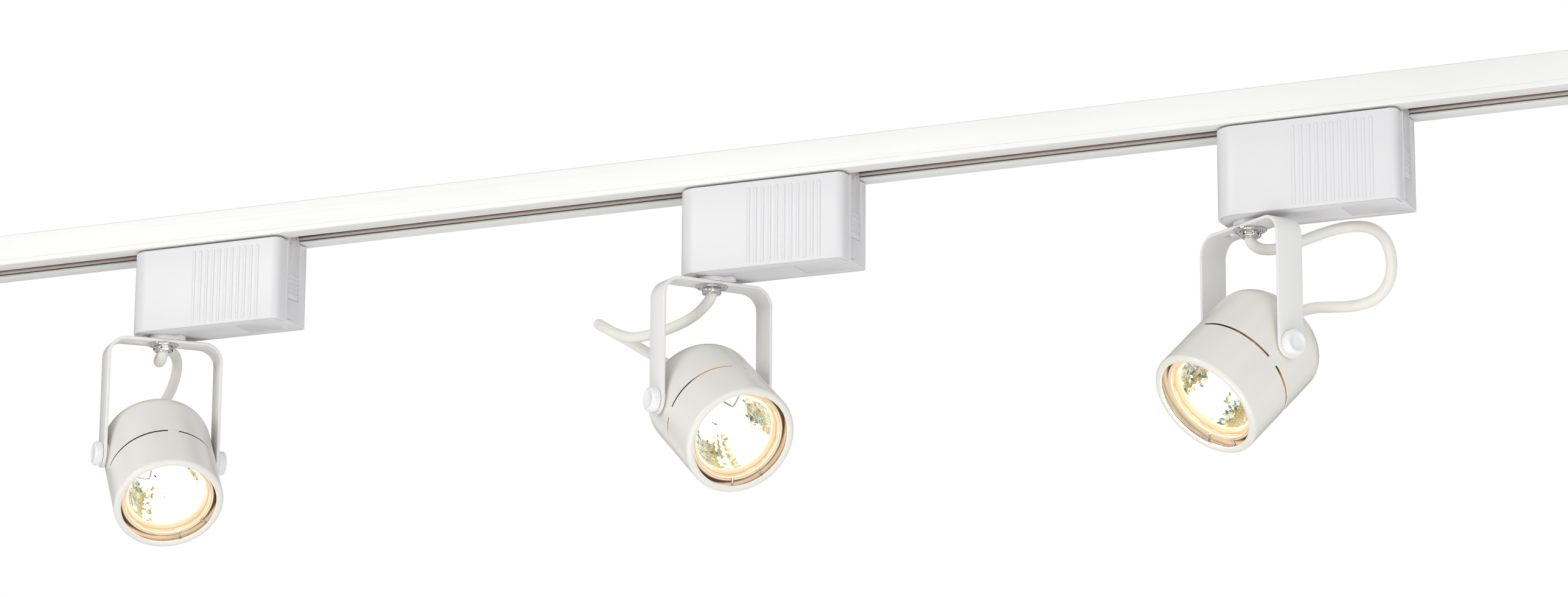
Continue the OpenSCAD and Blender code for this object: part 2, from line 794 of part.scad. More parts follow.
// A knurled thumbscrew on the +X side
module knob() {
    seat = yoke_in / 2 + strap_t + 0.1;
    translate([seat, 0, 0]) rotate([0, 90, 0]) {
        linear_extrude(knob_t - 1) {
            circle(knob_d / 2 - 0.3);
            for (k = [0:knob_ribs - 1]) rotate(k * 360 / knob_ribs)
                translate([knob_d / 2 - 0.35, 0]) circle(0.35, $fn = 16);
        }
        translate([0, 0, knob_t - 1.05]) cylinder(r1 = knob_d / 2 - 0.3, r2 = knob_d / 2 - 1.4, h = 1.05);
    }
    translate([25, 0, 0]) rotate([0, 90, 0]) cylinder(d = screw_shaft_d, h = seat - 24.9);
}

module knob_right(i) {
    color("white") at_head(i) knob();
}

module knob_left(i) {
    color("white") at_head(i) mirror([1, 0, 0]) knob();
}

// ---- drawing ----

track();
track_insulators();
track_conductors();
end_cap();
feed_housing();
feed_terminals();
for (i = spots) {
    adapter_cover(i);
    adapter_back(i);
    cover_screws(i);
    contact_head(i);
    contact_blades(i);
    latch_lever(i);
    transformer(i);
    swivel_disc(i);
    swivel_nipple(i);
    yoke(i);
    cable(i);
    front_shell(i);
    rear_shell(i);
    lamp(i);
    lamp_socket(i);
    lamp_clip(i);
    knob_left(i);
    knob_right(i);
}
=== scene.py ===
"""Looks of a one-circuit ceiling track with three low-voltage spot heads."""
import math

import bmesh
import bpy
from mathutils import Matrix, Vector, noise


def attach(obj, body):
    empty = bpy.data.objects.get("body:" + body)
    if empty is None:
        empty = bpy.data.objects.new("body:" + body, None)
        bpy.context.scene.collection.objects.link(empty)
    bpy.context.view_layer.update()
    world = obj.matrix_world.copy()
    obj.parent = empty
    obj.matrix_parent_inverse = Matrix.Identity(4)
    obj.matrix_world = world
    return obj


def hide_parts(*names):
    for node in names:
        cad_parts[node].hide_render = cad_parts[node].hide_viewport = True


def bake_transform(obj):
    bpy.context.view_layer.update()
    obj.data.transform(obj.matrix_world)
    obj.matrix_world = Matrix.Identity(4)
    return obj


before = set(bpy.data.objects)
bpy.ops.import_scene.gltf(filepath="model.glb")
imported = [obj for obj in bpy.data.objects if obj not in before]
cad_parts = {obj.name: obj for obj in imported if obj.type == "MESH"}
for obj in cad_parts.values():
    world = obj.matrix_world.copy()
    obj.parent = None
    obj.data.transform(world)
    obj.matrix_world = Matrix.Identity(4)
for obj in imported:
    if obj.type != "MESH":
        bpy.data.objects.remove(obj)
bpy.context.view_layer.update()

MM = 0.001
TRACK_HALF = 609.5
SCREW_X = (-450, -150, 150, 450)
SPOT_X = (-344.4, -10, 285)
PAN = (46, 54, -34)
TILT = (48, 36, 44)
PIVOT_Z = -131.3
SEAM_Y = -6
BOX_X = (-14.1, 81.5)
BOX_Y = (-16.5, 15.5)
BOX_Z = (-63.4, -18)
BOX_WALL = 1.8
WEB_TOP = -65.9
STRAP_T = 1.6
STRAP_HALF = 7.5
YOKE_HALF = 30.4
YOKE_BEND = 10.5
HEAD_R = 29.6
SHELL_T = 1.3
GAP_REAR = 13.15
GAP_FRONT = 14.3
HEAD_FRONT = 41.4
HEAD_REAR = -23.5
REAR_CORNER = 13
RIM_R = 25.8
LAMP_FRONT = 36.5
CLIP_TURN = (134, 118, 66)
CLIP_SPREAD = 18
CLIP_R = 27.6
CLIP_Z = 38.3
CABLE_D = 5.6


# ---------------------------------------------------------------- camera

CAMERA_AT = (1.0207, -2.1234, -0.6446)
CAMERA_AZ, CAMERA_EL, CAMERA_ROLL = 24.98, -13.60, 0.32
LENS = 107.34


def place_camera():
    """A long lens below and to the right of the track, looking up at it."""
    az, el, roll = (math.radians(a) for a in (CAMERA_AZ, CAMERA_EL, CAMERA_ROLL))
    back = Vector((math.sin(az) * math.cos(el), -math.cos(az) * math.cos(el), math.sin(el)))
    right = Vector((0, 0, 1)).cross(back).normalized()
    up = back.cross(right)
    side = right * math.cos(roll) + up * math.sin(roll)
    top = up * math.cos(roll) - right * math.sin(roll)
    data = bpy.data.cameras.new("camera")
    data.lens = LENS
    data.sensor_width = 36
    data.sensor_fit = "HORIZONTAL"
    data.clip_end = 100
    camera = bpy.data.objects.new("camera", data)
    bpy.context.collection.objects.link(camera)
    turn = Matrix((side, top, back)).transposed().to_4x4()
    camera.matrix_world = Matrix.Translation(CAMERA_AT) @ turn
    bpy.context.scene.camera = camera


place_camera()


# ---------------------------------------------------------------- frames

def at_spot(i):
    return Matrix.Scale(MM, 4) @ Matrix.Translation((SPOT_X[i], 0, 0))


def at_yoke(i):
    return at_spot(i) @ Matrix.Rotation(math.radians(PAN[i]), 4, "Z")


def at_head(i):
    tilt = Matrix.Rotation(math.radians(90 + TILT[i]), 4, "X")
    return at_yoke(i) @ Matrix.Translation((0, 0, PIVOT_Z)) @ tilt


# ---------------------------------------------------------------- mesh helpers

def to_object(name, bm, materials):
    """Turns a bmesh into an object of the scene."""
    bmesh.ops.recalc_face_normals(bm, faces=bm.faces)
    mesh = bpy.data.meshes.new(name)
    bm.to_mesh(mesh)
    bm.free()
    for material in materials:
        mesh.materials.append(material)
    obj = bpy.data.objects.new(name, mesh)
    bpy.context.collection.objects.link(obj)
    return obj


def reopen(obj):
    """An object's mesh, opened again so that more can be added to it."""
    bm = bmesh.new()
    bm.from_mesh(obj.data)
    return bm


def store(obj, bm, materials):
    """Writes an added-to mesh back and gives the object its materials."""
    bmesh.ops.recalc_face_normals(bm, faces=bm.faces)
    bm.to_mesh(obj.data)
    bm.free()
    for material in materials:
        obj.data.materials.append(material)


def bake(obj):
    """Applies every modifier."""
    graph = bpy.context.evaluated_depsgraph_get()
    mesh = bpy.data.meshes.new_from_object(obj.evaluated_get(graph))
    old = obj.data
    obj.modifiers.clear()
    obj.data = mesh
    mesh.name = old.name
    bpy.data.meshes.remove(old)


def bevel(obj, width, segments=2, angle=32):
    modifier = obj.modifiers.new("bevel", "BEVEL")
    modifier.width = width
    modifier.segments = segments
    modifier.limit_method = "ANGLE"
    modifier.angle_limit = math.radians(angle)
    modifier.use_clamp_overlap = True
    modifier.harden_normals = False
    bake(obj)


def carve(obj, cutters):
    """Cuts other solids out of a piece, and removes them."""
    for cutter in cutters:
        modifier = obj.modifiers.new("carve", "BOOLEAN")
        modifier.operation = "DIFFERENCE"
        modifier.solver = "EXACT"
        modifier.object = cutter
        bake(obj)
        bpy.data.objects.remove(cutter)


def finish_piece(obj, matrix, body, replaces=(), smooth=35):
    """Places a piece in the row frame, smooths it and ties it to its body."""
    obj.data.transform(matrix)
    obj.data.shade_smooth()
    obj.data.set_sharp_from_angle(angle=math.radians(smooth))
    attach(obj, body)
    if replaces:
        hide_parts(*replaces)
    return obj


def add_prism(bm, outline, low, high, material=0):
    """A solid between two heights over a flat outline of (x, y)."""
    base = [bm.verts.new((x, y, low)) for x, y in outline]
    top = [bm.verts.new((x, y, high)) for x, y in outline]
    faces = [bm.faces.new(base[::-1]), bm.faces.new(top)]
    count = len(outline)
    for k in range(count):
        n = (k + 1) % count
        faces.append(bm.faces.new((base[k], base[n], top[n], top[k])))
    for face in faces:
        face.material_index = material


def prism(outline, low, high):
    bm = bmesh.new()
    add_prism(bm, outline, low, high)
    return to_object("solid", bm, [])


def block(low, high):
    x0, y0, z0 = low
    x1, y1, z1 = high
    return prism([(x0, y0), (x1, y0), (x1, y1), (x0, y1)], z0, z1)


def ring_points(radius, count, start=0.0):
    return [(radius * math.cos(start + 2 * math.pi * k / count),
             radius * math.sin(start + 2 * math.pi * k / count)) for k in range(count)]


def add_rings(bm, rings, close=False, cap=True, material=0):
    """Joins rings of points into a skin. close joins the last ring to the first."""
    verts = [[bm.verts.new(p) for p in ring] for ring in rings]
    count = len(verts[0])
    pairs = list(zip(verts, verts[1:]))
    if close:
        pairs.append((verts[-1], verts[0]))
    faces = []
    for a, b in pairs:
        for k in range(count):
            n = (k + 1) % count
            faces.append(bm.faces.new((a[k], a[n], b[n], b[k])))
    if cap and not close:
        faces.append(bm.faces.new(verts[0][::-1]))
        faces.append(bm.faces.new(verts[-1]))
    for face in faces:
        face.material_index = material
    return faces


def add_lathe(bm, profile, count, close=True, material=0):
    """Turns a profile of (r, z) about Z."""
    rings = [[(x, y, z) for x, y in ring_points(max(r, 0.02), count)] for r, z in profile]
    return add_rings(bm, rings, close=close, cap=not close, material=material)


def arc(cx, cy, radius, start, end, steps):
    """Points of an arc, with angles in degrees."""
    points = []
    for k in range(steps + 1):
        a = math.radians(start + (end - start) * k / steps)
        points.append((cx + radius * math.cos(a), cy + radius * math.sin(a)))
    return points


def rounded_outline(x0, y0, x1, y1, radii, steps=8):
    """A rectangle with its own radius at each corner, from the lower left around."""
    a, b, c, d = (max(r, 0.01) for r in radii)
    return (arc(x0 + a, y0 + a, a, 180, 270, steps) + arc(x1 - b, y0 + b, b, 270, 360, steps)
            + arc(x1 - c, y1 - c, c, 0, 90, steps) + arc(x0 + d, y1 - d, d, 90, 180, steps))


def clip_outline(outline, limit, keep_below):
    """The part of an outline on one side of y = limit."""
    sign = 1 if keep_below else -1
    result = []
    for k, (x, y) in enumerate(outline):
        px, py = outline[k - 1]
        inside, before = sign * (limit - y) >= 0, sign * (limit - py) >= 0
        if inside != before:
            t = (limit - py) / (y - py)
            result.append((px + t * (x - px), limit))
        if inside:
            result.append((x, y))
    return result


def stadium(half, radius, steps=8):
    """An upright slot shape: two half circles joined by straight sides."""
    return arc(0, half - radius, radius, 0, 180, steps) + arc(0, radius - half, radius, 180, 360, steps)


# ---------------------------------------------------------------- node helpers

class Shader:
    """A material's node tree with short calls for the nodes used here."""

    def __init__(self, name):
        self.material = bpy.data.materials.new(name)
        self.material.use_nodes = True
        self.tree = self.material.node_tree
        self.surface = self.tree.nodes["Principled BSDF"]
        self.output = self.tree.nodes["Material Output"]
        self.coords = self.tree.nodes.new("ShaderNodeTexCoord")

    def node(self, kind, **settings):
        made = self.tree.nodes.new("ShaderNode" + kind)
        for key, value in settings.items():
            setattr(made, key, value)
        return made

    def link(self, source, target):
        self.tree.links.new(source, target)

    def feed(self, socket, value):
        if isinstance(value, bpy.types.NodeSocket):
            self.link(value, socket)
        else:
            socket.default_value = value

    def place(self, scale=(1, 1, 1), space="Object"):
        mapping = self.node("Mapping")
        self.link(self.coords.outputs[space], mapping.inputs["Vector"])
        mapping.inputs["Scale"].default_value = scale
        return mapping.outputs["Vector"]

    def noise(self, scale, detail=3.0, rough=0.5, stretch=(1, 1, 1), space="Object", distort=0.0):
        texture = self.node("TexNoise")
        self.link(self.place(stretch, space), texture.inputs["Vector"])
        texture.inputs["Scale"].default_value = scale
        texture.inputs["Detail"].default_value = detail
        texture.inputs["Roughness"].default_value = rough
        texture.inputs["Distortion"].default_value = distort
        return texture.outputs["Fac"]

    def ramp(self, source, stops):
        made = self.node("ValToRGB")
        self.link(source, made.inputs["Fac"])
        elements = made.color_ramp.elements
        while len(elements) < len(stops):
            elements.new(0.5)
        for element, (at, colour) in zip(elements, stops):
            element.position = at
            element.color = (*colour, 1)
        return made.outputs["Color"]

    def span(self, source, low, high, from_low=0.0, from_high=1.0):
        made = self.node("MapRange")
        self.link(source, made.inputs["Value"])
        made.inputs["From Min"].default_value = from_low
        made.inputs["From Max"].default_value = from_high
        made.inputs["To Min"].default_value = low
        made.inputs["To Max"].default_value = high
        return made.outputs["Result"]

    def math(self, operation, a, b=0.0):
        made = self.node("Math", operation=operation)
        self.feed(made.inputs[0], a)
        self.feed(made.inputs[1], b)
        return made.outputs[0]

    def mix(self, factor, a, b):
        made = self.node("Mix", data_type="RGBA", blend_type="MIX")
        self.feed(made.inputs["Factor"], factor)
        for socket, value in ((made.inputs[6], a), (made.inputs[7], b)):
            self.feed(socket, value if isinstance(value, bpy.types.NodeSocket) else (*value, 1))
        return made.outputs[2]

    def bump(self, height, strength, distance, below=None):
        made = self.node("Bump")
        self.link(height, made.inputs["Height"])
        made.inputs["Strength"].default_value = strength
        made.inputs["Distance"].default_value = distance
        if below is not None:
            self.link(below, made.inputs["Normal"])
        return made.outputs["Normal"]

    def set(self, **values):
        for key, value in values.items():
            self.feed(self.surface.inputs[key.replace("_", " ")], value)


def coated(name, light, dark, rough, grain, grain_depth, coat=0.0):
    """Paint or plastic: two close tints, fine grain and roughness that varies."""
    s = Shader(name)
    cloud = s.noise(9, 4, 0.6)
    colour = s.ramp(cloud, [(0.35, dark), (0.65, light)])
    specks = s.noise(grain * 0.35, 2, 0.7)
    colour = s.mix(s.span(specks, 0.0, 0.25, 0.62, 0.8), colour, [c * 0.9 for c in dark])
    fine = s.noise(grain, 3, 0.55)
    wave = s.noise(grain * 0.12, 2, 0.5)
    normal = s.bump(wave, 0.25, grain_depth * 1.6)
    s.set(Base_Color=colour, Roughness=s.span(fine, rough - 0.05, rough + 0.07, 0.3, 0.7),
          Normal=s.bump(fine, 0.35, grain_depth, normal))
    s.surface.inputs["Coat Weight"].default_value = coat
    s.surface.inputs["Coat Roughness"].default_value = 0.18
    return s.material


def metal(name, light, dark, rough, scratch=(1, 1, 1), scale=260, depth=0.00004):
    """Plated or rolled metal with fine scratches."""
    s = Shader(name)
    lines = s.noise(scale, 4, 0.6, stretch=scratch)
    cloud = s.noise(38, 3, 0.6)
    s.set(Base_Color=s.ramp(cloud, [(0.3, dark), (0.7, light)]), Metallic=1.0,
          Roughness=s.span(lines, rough * 0.6, rough * 1.5, 0.3, 0.7), Normal=s.bump(lines, 0.2, depth))
    return s.material


def make_track_paint():
    """White enamel over an extrusion, with faint die lines along its length."""
    s = Shader("track_enamel")
    lines = s.noise(1, 3, 0.6, stretch=(3, 900, 900))
    cloud = s.noise(6, 3, 0.55)
    colour = s.ramp(cloud, [(0.3, (0.83, 0.825, 0.81)), (0.7, (0.87, 0.865, 0.85))])
    grain = s.noise(2600, 2, 0.5)
    normal = s.bump(lines, 0.12, 0.00012)
    s.set(Base_Color=colour, Roughness=s.span(lines, 0.3, 0.42, 0.3, 0.7),
          Normal=s.bump(grain, 0.15, 0.00003, normal))
    return s.material


def make_braid():
    """Woven glass-fibre sleeve: fine crossed yarns and fibres that run along the tube."""
    s = Shader("braided_sleeve")
    split = s.node("SeparateXYZ")
    s.link(s.coords.outputs["UV"], split.inputs[0])
    around, along = split.outputs[0], split.outputs[1]
    pitch = s.math("MULTIPLY", along, 620)
    lay = s.math("MULTIPLY", around, 16)
    right = s.math("SINE", s.math("MULTIPLY", s.math("ADD", lay, pitch), 2 * math.pi))
    left = s.math("SINE", s.math("MULTIPLY", s.math("SUBTRACT", lay, pitch), 2 * math.pi))
    weave = s.math("MAXIMUM", right, left)
    fibres = s.noise(1, 4, 0.65, stretch=(60, 60, 1), space="UV", distort=0.6)
    height = s.math("ADD", s.math("MULTIPLY", weave, 0.12), s.math("MULTIPLY", fibres, 0.95))
    tint = s.ramp(s.span(height, 0, 1, -0.1, 1.1),
                  [(0.2, (0.70, 0.68, 0.61)), (0.5, (0.84, 0.82, 0.76)), (0.8, (0.92, 0.91, 0.87))])
    soil = s.noise(90, 4, 0.6)
    colour = s.mix(s.span(soil, 0, 0.3, 0.5, 0.75), tint, (0.76, 0.72, 0.63))
    fuzz = s.noise(4200, 3, 0.7)
    normal = s.bump(height, 0.5, 0.00013)
    s.set(Base_Color=colour, Roughness=0.78, Normal=s.bump(fuzz, 0.3, 0.00005, normal))
    s.surface.inputs["Sheen Weight"].default_value = 0.25
    s.surface.inputs["Sheen Roughness"].default_value = 0.5
    return s.material


def make_reflector():
    """Lit dichroic facets: glaring where the beam leaves, gold to blue-green elsewhere."""
    s = Shader("lamp_reflector")
    split = s.node("SeparateXYZ")
    s.link(s.coords.outputs["UV"], split.inputs[0])
    glare, tint = split.outputs[0], split.outputs[1]
    ripple = s.noise(1500, 3, 0.6)
    wave = s.math("ADD", tint, s.span(ripple, -0.26, 0.26, 0.3, 0.7))
    film = s.ramp(wave, [(0.06, (0.08, 0.12, 0.12)), (0.20, (0.24, 0.40, 0.44)), (0.33, (0.90, 1.1, 1.1)),
                         (0.46, (0.70, 0.52, 0.13)), (0.58, (0.30, 0.22, 0.04)), (0.70, (0.76, 0.56, 0.14)),
                         (0.82, (1.0, 0.9, 0.5)), (0.94, (1.5, 1.5, 1.4))])
    lit = s.math("ADD", glare, s.span(ripple, -0.12, 0.12, 0.3, 0.7))
    colour = s.mix(s.span(lit, 0, 1, 0.25, 0.75), film, (1.0, 0.975, 0.90))
    s.set(Base_Color=s.mix(0.88, film, (0.03, 0.03, 0.03)), Metallic=0.6, Roughness=0.2,
          Emission_Color=colour, Emission_Strength=s.span(lit, 0.66, 3.2, 0.3, 0.95),
          Normal=s.bump(ripple, 0.3, 0.0003))
    return s.material


def make_reflector_back():
    """The reflector's outside, which lets the red end of the light through in patches."""
    s = Shader("lamp_reflector_back")
    cloud = s.noise(55, 3, 0.6)
    colour = s.ramp(cloud, [(0.44, (0.05, 0.03, 0.02)), (0.56, (0.85, 0.36, 0.13)),
                            (0.7, (1.0, 0.66, 0.36))])
    s.set(Base_Color=(0.30, 0.22, 0.16, 1), Roughness=0.25, Emission_Color=colour,
          Emission_Strength=s.span(cloud, 0.05, 0.9, 0.48, 0.64))
    return s.material


def make_lamp_glass():
    """Clear front glass with a faint warm tint and small waves."""
    s = Shader("lamp_front_glass")
    clear = s.node("BsdfTransparent")
    clear.inputs["Color"].default_value = (0.99, 0.98, 0.95, 1)
    gloss = s.node("BsdfGlossy")
    gloss.inputs["Roughness"].default_value = 0.03
    waves = s.noise(90, 2, 0.5)
    s.link(s.bump(waves, 0.1, 0.0004), gloss.inputs["Normal"])
    blend = s.node("MixShader")
    blend.inputs[0].default_value = 0.05
    s.link(clear.outputs[0], blend.inputs[1])
    s.link(gloss.outputs[0], blend.inputs[2])
    s.link(blend.outputs[0], s.output.inputs["Surface"])
    return s.material


def make_lamp_rim():
    """The moulded glass rim: concentric bands lit from inside, peach to tan."""
    s = Shader("lamp_rim")
    split = s.node("SeparateXYZ")
    s.link(s.coords.outputs["UV"], split.inputs[0])
    cloud = s.noise(120, 3, 0.6)
    band = s.math("ADD", split.outputs[0], s.span(cloud, -0.05, 0.05, 0.3, 0.7))
    colour = s.ramp(band, [(0.04, (1.0, 0.90, 0.72)), (0.14, (0.96, 0.62, 0.38)),
                           (0.34, (0.90, 0.50, 0.30)), (0.42, (0.48, 0.27, 0.15)),
                           (0.50, (0.96, 0.74, 0.54)), (0.64, (0.88, 0.60, 0.40)),
                           (0.70, (0.38, 0.26, 0.16)), (0.78, (0.92, 0.80, 0.62)),
                           (0.92, (0.50, 0.40, 0.26))])
    s.set(Base_Color=s.mix(0.5, colour, (0.35, 0.30, 0.25)), Roughness=0.2, Emission_Color=colour,
          Emission_Strength=s.span(cloud, 0.42, 0.62, 0.3, 0.7))
    return s.material


def make_inside(lit):
    """The can's dark inner colour, which on the slot's edges is painted shade; the lit version adds a
    painted glow of the lamp's red light in patches.
    """
    s = Shader("shell_inside_lit" if lit else "shell_inside")
    grain = s.noise(900, 3, 0.6)
    # dark inner colour, also used as painted shade on the slot's edge faces
    colour = s.mix(s.span(grain, 0, 1, 0.3, 0.7), (0.10, 0.075, 0.055), (0.05, 0.04, 0.03))
    s.set(Base_Color=colour, Roughness=0.4, Normal=s.bump(grain, 0.2, 0.00006))
    if lit:
        # painted glow: patches of the lamp's red light, emitted by the inner face, which is no lamp
        cloud = s.noise(38, 2, 0.5)
        s.set(Emission_Color=s.ramp(cloud, [(0.42, (0.30, 0.10, 0.04)), (0.58, (0.85, 0.40, 0.16))]),
              Emission_Strength=s.span(cloud, 0.0, 0.6, 0.42, 0.58))
    return s.material


def make_lining():
    """The can's inner wall beside the lit rim: glowing olive and cream bands of painted lamplight, with
    painted shade deeper in and under the lip.
    """
    s = Shader("shell_lining_painted_lamplight")
    split = s.node("SeparateXYZ")
    s.link(s.coords.outputs["UV"], split.inputs[0])
    cloud = s.noise(160, 3, 0.6)
    band = s.math("ADD", split.outputs[0], s.span(cloud, -0.008, 0.008, 0.3, 0.7))
    # painted lamplight bands, with painted shade at both ends: deeper in the can and under the lip
    colour = s.ramp(band, [(0.60, (0.10, 0.07, 0.05)), (0.65, (0.50, 0.36, 0.24)),
                           (0.69, (0.90, 0.78, 0.60)), (0.75, (0.82, 0.66, 0.48)),
                           (0.79, (0.42, 0.33, 0.21)), (0.83, (0.74, 0.66, 0.46)),
                           (0.875, (0.62, 0.54, 0.38)), (0.895, (0.10, 0.07, 0.05))])
    # the bands are emitted: a painted glow on a wall that is no lamp
    s.set(Base_Color=colour, Roughness=0.3, Emission_Color=colour,
          Emission_Strength=s.span(cloud, 0.42, 0.56, 0.3, 0.7))
    return s.material


def make_burner():
    """The quartz burner, far brighter than the reflector."""
    s = Shader("lamp_burner")
    swirl = s.noise(500, 2, 0.5)
    s.set(Base_Color=(1, 0.97, 0.9, 1), Roughness=0.1, Emission_Color=(1.0, 0.95, 0.84, 1),
          Emission_Strength=s.span(swirl, 5, 7, 0.3, 0.7))
    return s.material


MAT = {
    "track": make_track_paint(),
    "housing": coated("housing_plastic", (0.765, 0.755, 0.765), (0.745, 0.735, 0.745), 0.36, 2300, 0.00003),
    "yoke": coated("yoke_paint", (0.86, 0.85, 0.84), (0.84, 0.83, 0.815), 0.34, 1500, 0.00005, coat=0.2),
    "head": coated("head_paint", (0.845, 0.825, 0.775), (0.82, 0.80, 0.745), 0.33, 1300, 0.00006,
                   coat=0.25),
    # the can's inside: dark colour that serves as painted shade, plus a painted glow in the lit version
    "inside": make_inside(False),
    "inside_lit": make_inside(True),
    "knob": coated("knob_plastic", (0.89, 0.89, 0.89), (0.87, 0.87, 0.87), 0.30, 2600, 0.00002),
    "insulator": coated("insulator_plastic", (0.80, 0.77, 0.735), (0.76, 0.73, 0.69), 0.42, 1800, 0.00004),
    "porcelain": coated("porcelain_glaze", (0.84, 0.82, 0.76), (0.80, 0.775, 0.71), 0.22, 900, 0.00005,
                        coat=0.5),
    "core": coated("transformer_potting", (0.035, 0.035, 0.04), (0.02, 0.02, 0.022), 0.45, 700, 0.0002),
    "chrome": metal("chrome_plate", (0.80, 0.79, 0.78), (0.62, 0.60, 0.58), 0.07),
    "steel": metal("spring_wire", (0.66, 0.65, 0.63), (0.50, 0.49, 0.48), 0.28, scale=900),
    "zinc": metal("zinc_plate", (0.70, 0.70, 0.69), (0.56, 0.56, 0.58), 0.34, scale=600),
    "brass": metal("contact_brass", (0.83, 0.64, 0.30), (0.70, 0.50, 0.22), 0.26, scale=500),
    "copper": metal("copper_strip", (0.86, 0.47, 0.30), (0.66, 0.34, 0.22), 0.30,
                    scratch=(0.02, 1, 1), scale=900),
    "braid": make_braid(),
    "reflector": make_reflector(),
    "reflector_back": make_reflector_back(),
    "glass": make_lamp_glass(),
    "rim": make_lamp_rim(),
    # painted lamplight and painted shade on the can's inner wall
    "lining": make_lining(),
    "burner": make_burner(),
}


# ---------------------------------------------------------------- cables

# Points of each cable from its nipple to its can, in mm from the swivel's axis
ROUTES = (
    ((0, 0, -68), (0, 0, -71.8), (-1, 1, -74.5), (-3.6, 3.5, -76), (-6.9, 7, -75.2),
     (-9.5, 11.2, -72.4), (-11.2, 15.8, -69.2), (-11.9, 20.4, -66.4), (-11.5, 24.8, -64.9),
     (-10.2, 28, -66.6), (-9, 28.8, -70.8), (-8.4, 27.6, -76.4), (-8.4, 25.8, -82),
     (-9.2, 24, -87.4), (-10.8, 22, -92.8), (-12.8, 19.8, -98.8), (-15, 17, -105),
     (-13.7, 13.3, -110), (-11.3, 10.9, -113.7), (-8.9, 8.6, -117.5)),
    ((0, 0, -68), (0, 0, -71.8), (-1.8, 0.3, -75), (-5.6, 1.2, -78.2), (-11, 2.8, -81.2),
     (-18.5, 4.8, -83.8), (-28, 6.8, -86), (-40, 9, -87.6), (-53, 12, -87.2), (-65, 16, -82.4),
     (-75, 22, -76.6), (-81, 30, -73.6), (-80, 39, -74.6), (-72, 44.5, -79.6), (-61, 43.5, -86.6),
     (-50, 37.5, -92.8), (-39.5, 29, -99.6), (-29, 20.8, -107), (-20, 14.5, -113.4),
     (-15.4, 11.2, -117.4), (-12.1, 8.8, -120.3)),
    ((0, 0, -68), (0, 0, -72.2), (1.3, 0.5, -75), (4.6, 2.3, -77.2), (9.6, 5.1, -77.4),
     (15.6, 9, -75.6), (22.4, 13.6, -72.4), (30.7, 17.6, -68.8), (39.2, 20, -66.4),
     (48, 21.2, -65.8), (56, 21.2, -67.8), (62, 20.8, -73.1), (65.2, 20.4, -80.9),
     (65.8, 20.2, -89.2), (63.8, 20.3, -96.6), (59, 20.8, -102.2), (52, 21.6, -105),
     (43.1, 22.8, -105.6), (34, 24, -104.8), (26, 24.4, -104.2), (19.8, 23, -105.2),
     (15.2, 20.4, -107.8), (12, 17.7, -110.8), (9.45, 14, -114.9), (7.4, 11, -118.3)),
)
CABLE_STEPS = 8
CABLE_SIDES = 28


def smooth_route(route, steps):
    """Points of the smooth curve through a route."""
    pts = [Vector(p) for p in route]
    line = []
    for k in range(len(pts) - 1):
        a, b, c, d = pts[max(k - 1, 0)], pts[k], pts[k + 1], pts[min(k + 2, len(pts) - 1)]
        for n in range(steps):
            t = n / steps
            line.append(0.5 * (2 * b + (c - a) * t + (2 * a - 5 * b + 4 * c - d) * t * t
                               + (3 * b - a - 3 * c + d) * t ** 3))
    line.append(pts[-1])
    return line


def make_cable(i):
    line = smooth_route(ROUTES[i], CABLE_STEPS)
    bm = bmesh.new()
    uv = bm.loops.layers.uv.new("sleeve")
    side = Vector((1, 0, 0))
    rings, marks, run = [], [], 0.0
    for k, point in enumerate(line):
        ahead = (line[min(k + 1, len(line) - 1)] - line[max(k - 1, 0)]).normalized()
        side = (side - side.dot(ahead) * ahead).normalized()
        other = ahead.cross(side)
        run += (point - line[max(k - 1, 0)]).length
        wobble = 1 + 0.018 * noise.noise(Vector((run * 0.22, i * 9.1, 0)))
        ring = []
        for n in range(CABLE_SIDES):
            a = 2 * math.pi * n / CABLE_SIDES
            radius = CABLE_D / 2 * wobble
            ring.append(bm.verts.new(point + radius * (math.cos(a) * side + math.sin(a) * other)))
        rings.append(ring)
        marks.append(run * MM)
    for k, (a, b) in enumerate(zip(rings, rings[1:])):
        for n in range(CABLE_SIDES):
            m = (n + 1) % CABLE_SIDES
            face = bm.faces.new((a[n], a[m], b[m], b[n]))
            spots = ((n, k), (n + 1, k), (n + 1, k + 1), (n, k + 1))
            for loop, (u, v) in zip(face.loops, spots):
                loop[uv].uv = (u / CABLE_SIDES, marks[v])
    bm.faces.new(rings[0][::-1])
    bm.faces.new(rings[-1])
    obj = to_object(f"sleeved_cable_{i + 1}", bm, [MAT["braid"]])
    obj.data.transform(at_spot(i))
    obj.data.shade_smooth()
    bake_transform(obj)
    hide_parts(f"cable_{i + 1}")


for i in range(3):
    make_cable(i)


# ---------------------------------------------------------------- track

def make_track():
    """The extrusion: web, walls, lips and slot, with its ceiling screw holes."""
    half, height, wall, lip, slot = 18, 17, 1.6, 1.2, 6.6
    r = 0.7
    line = half - 0.25
    right = (arc(half - r, -r, r, 90, 0, 4)
             + [(half, -14.05), (line, -14.15), (line, -14.45), (half, -14.55)]
             + arc(half - r, -height + r, r, 0, -90, 5)
             + arc(slot + 0.5, -height + 0.5, 0.5, 270, 180, 4)
             + arc(slot + 0.4, -height + lip - 0.4, 0.4, 180, 90, 3)
             + [(half - wall, -height + lip), (half - wall, -wall)])
    profile = right + [(-y, z) for y, z in reversed(right)]
    rings = [[(x, y, z) for y, z in profile] for x in (-TRACK_HALF, TRACK_HALF)]
    bm = bmesh.new()
    add_rings(bm, rings)
    obj = to_object("track_extrusion", bm, [MAT["track"]])
    groove = block((-700, 11.9, -17.2), (700, 12.3, -16.8))
    carve(obj, [groove])
    for x in SCREW_X:
        bm = bmesh.new()
        add_prism(bm, [(x + px, py) for px, py in ring_points(2.5, 32)], -3, 1)
        carve(obj, [to_object("hole", bm, [])])
    finish_piece(obj, Matrix.Scale(MM, 4), "track", ["track"], smooth=28)


make_track()


# ---------------------------------------------------------------- CAD parts given softened edges

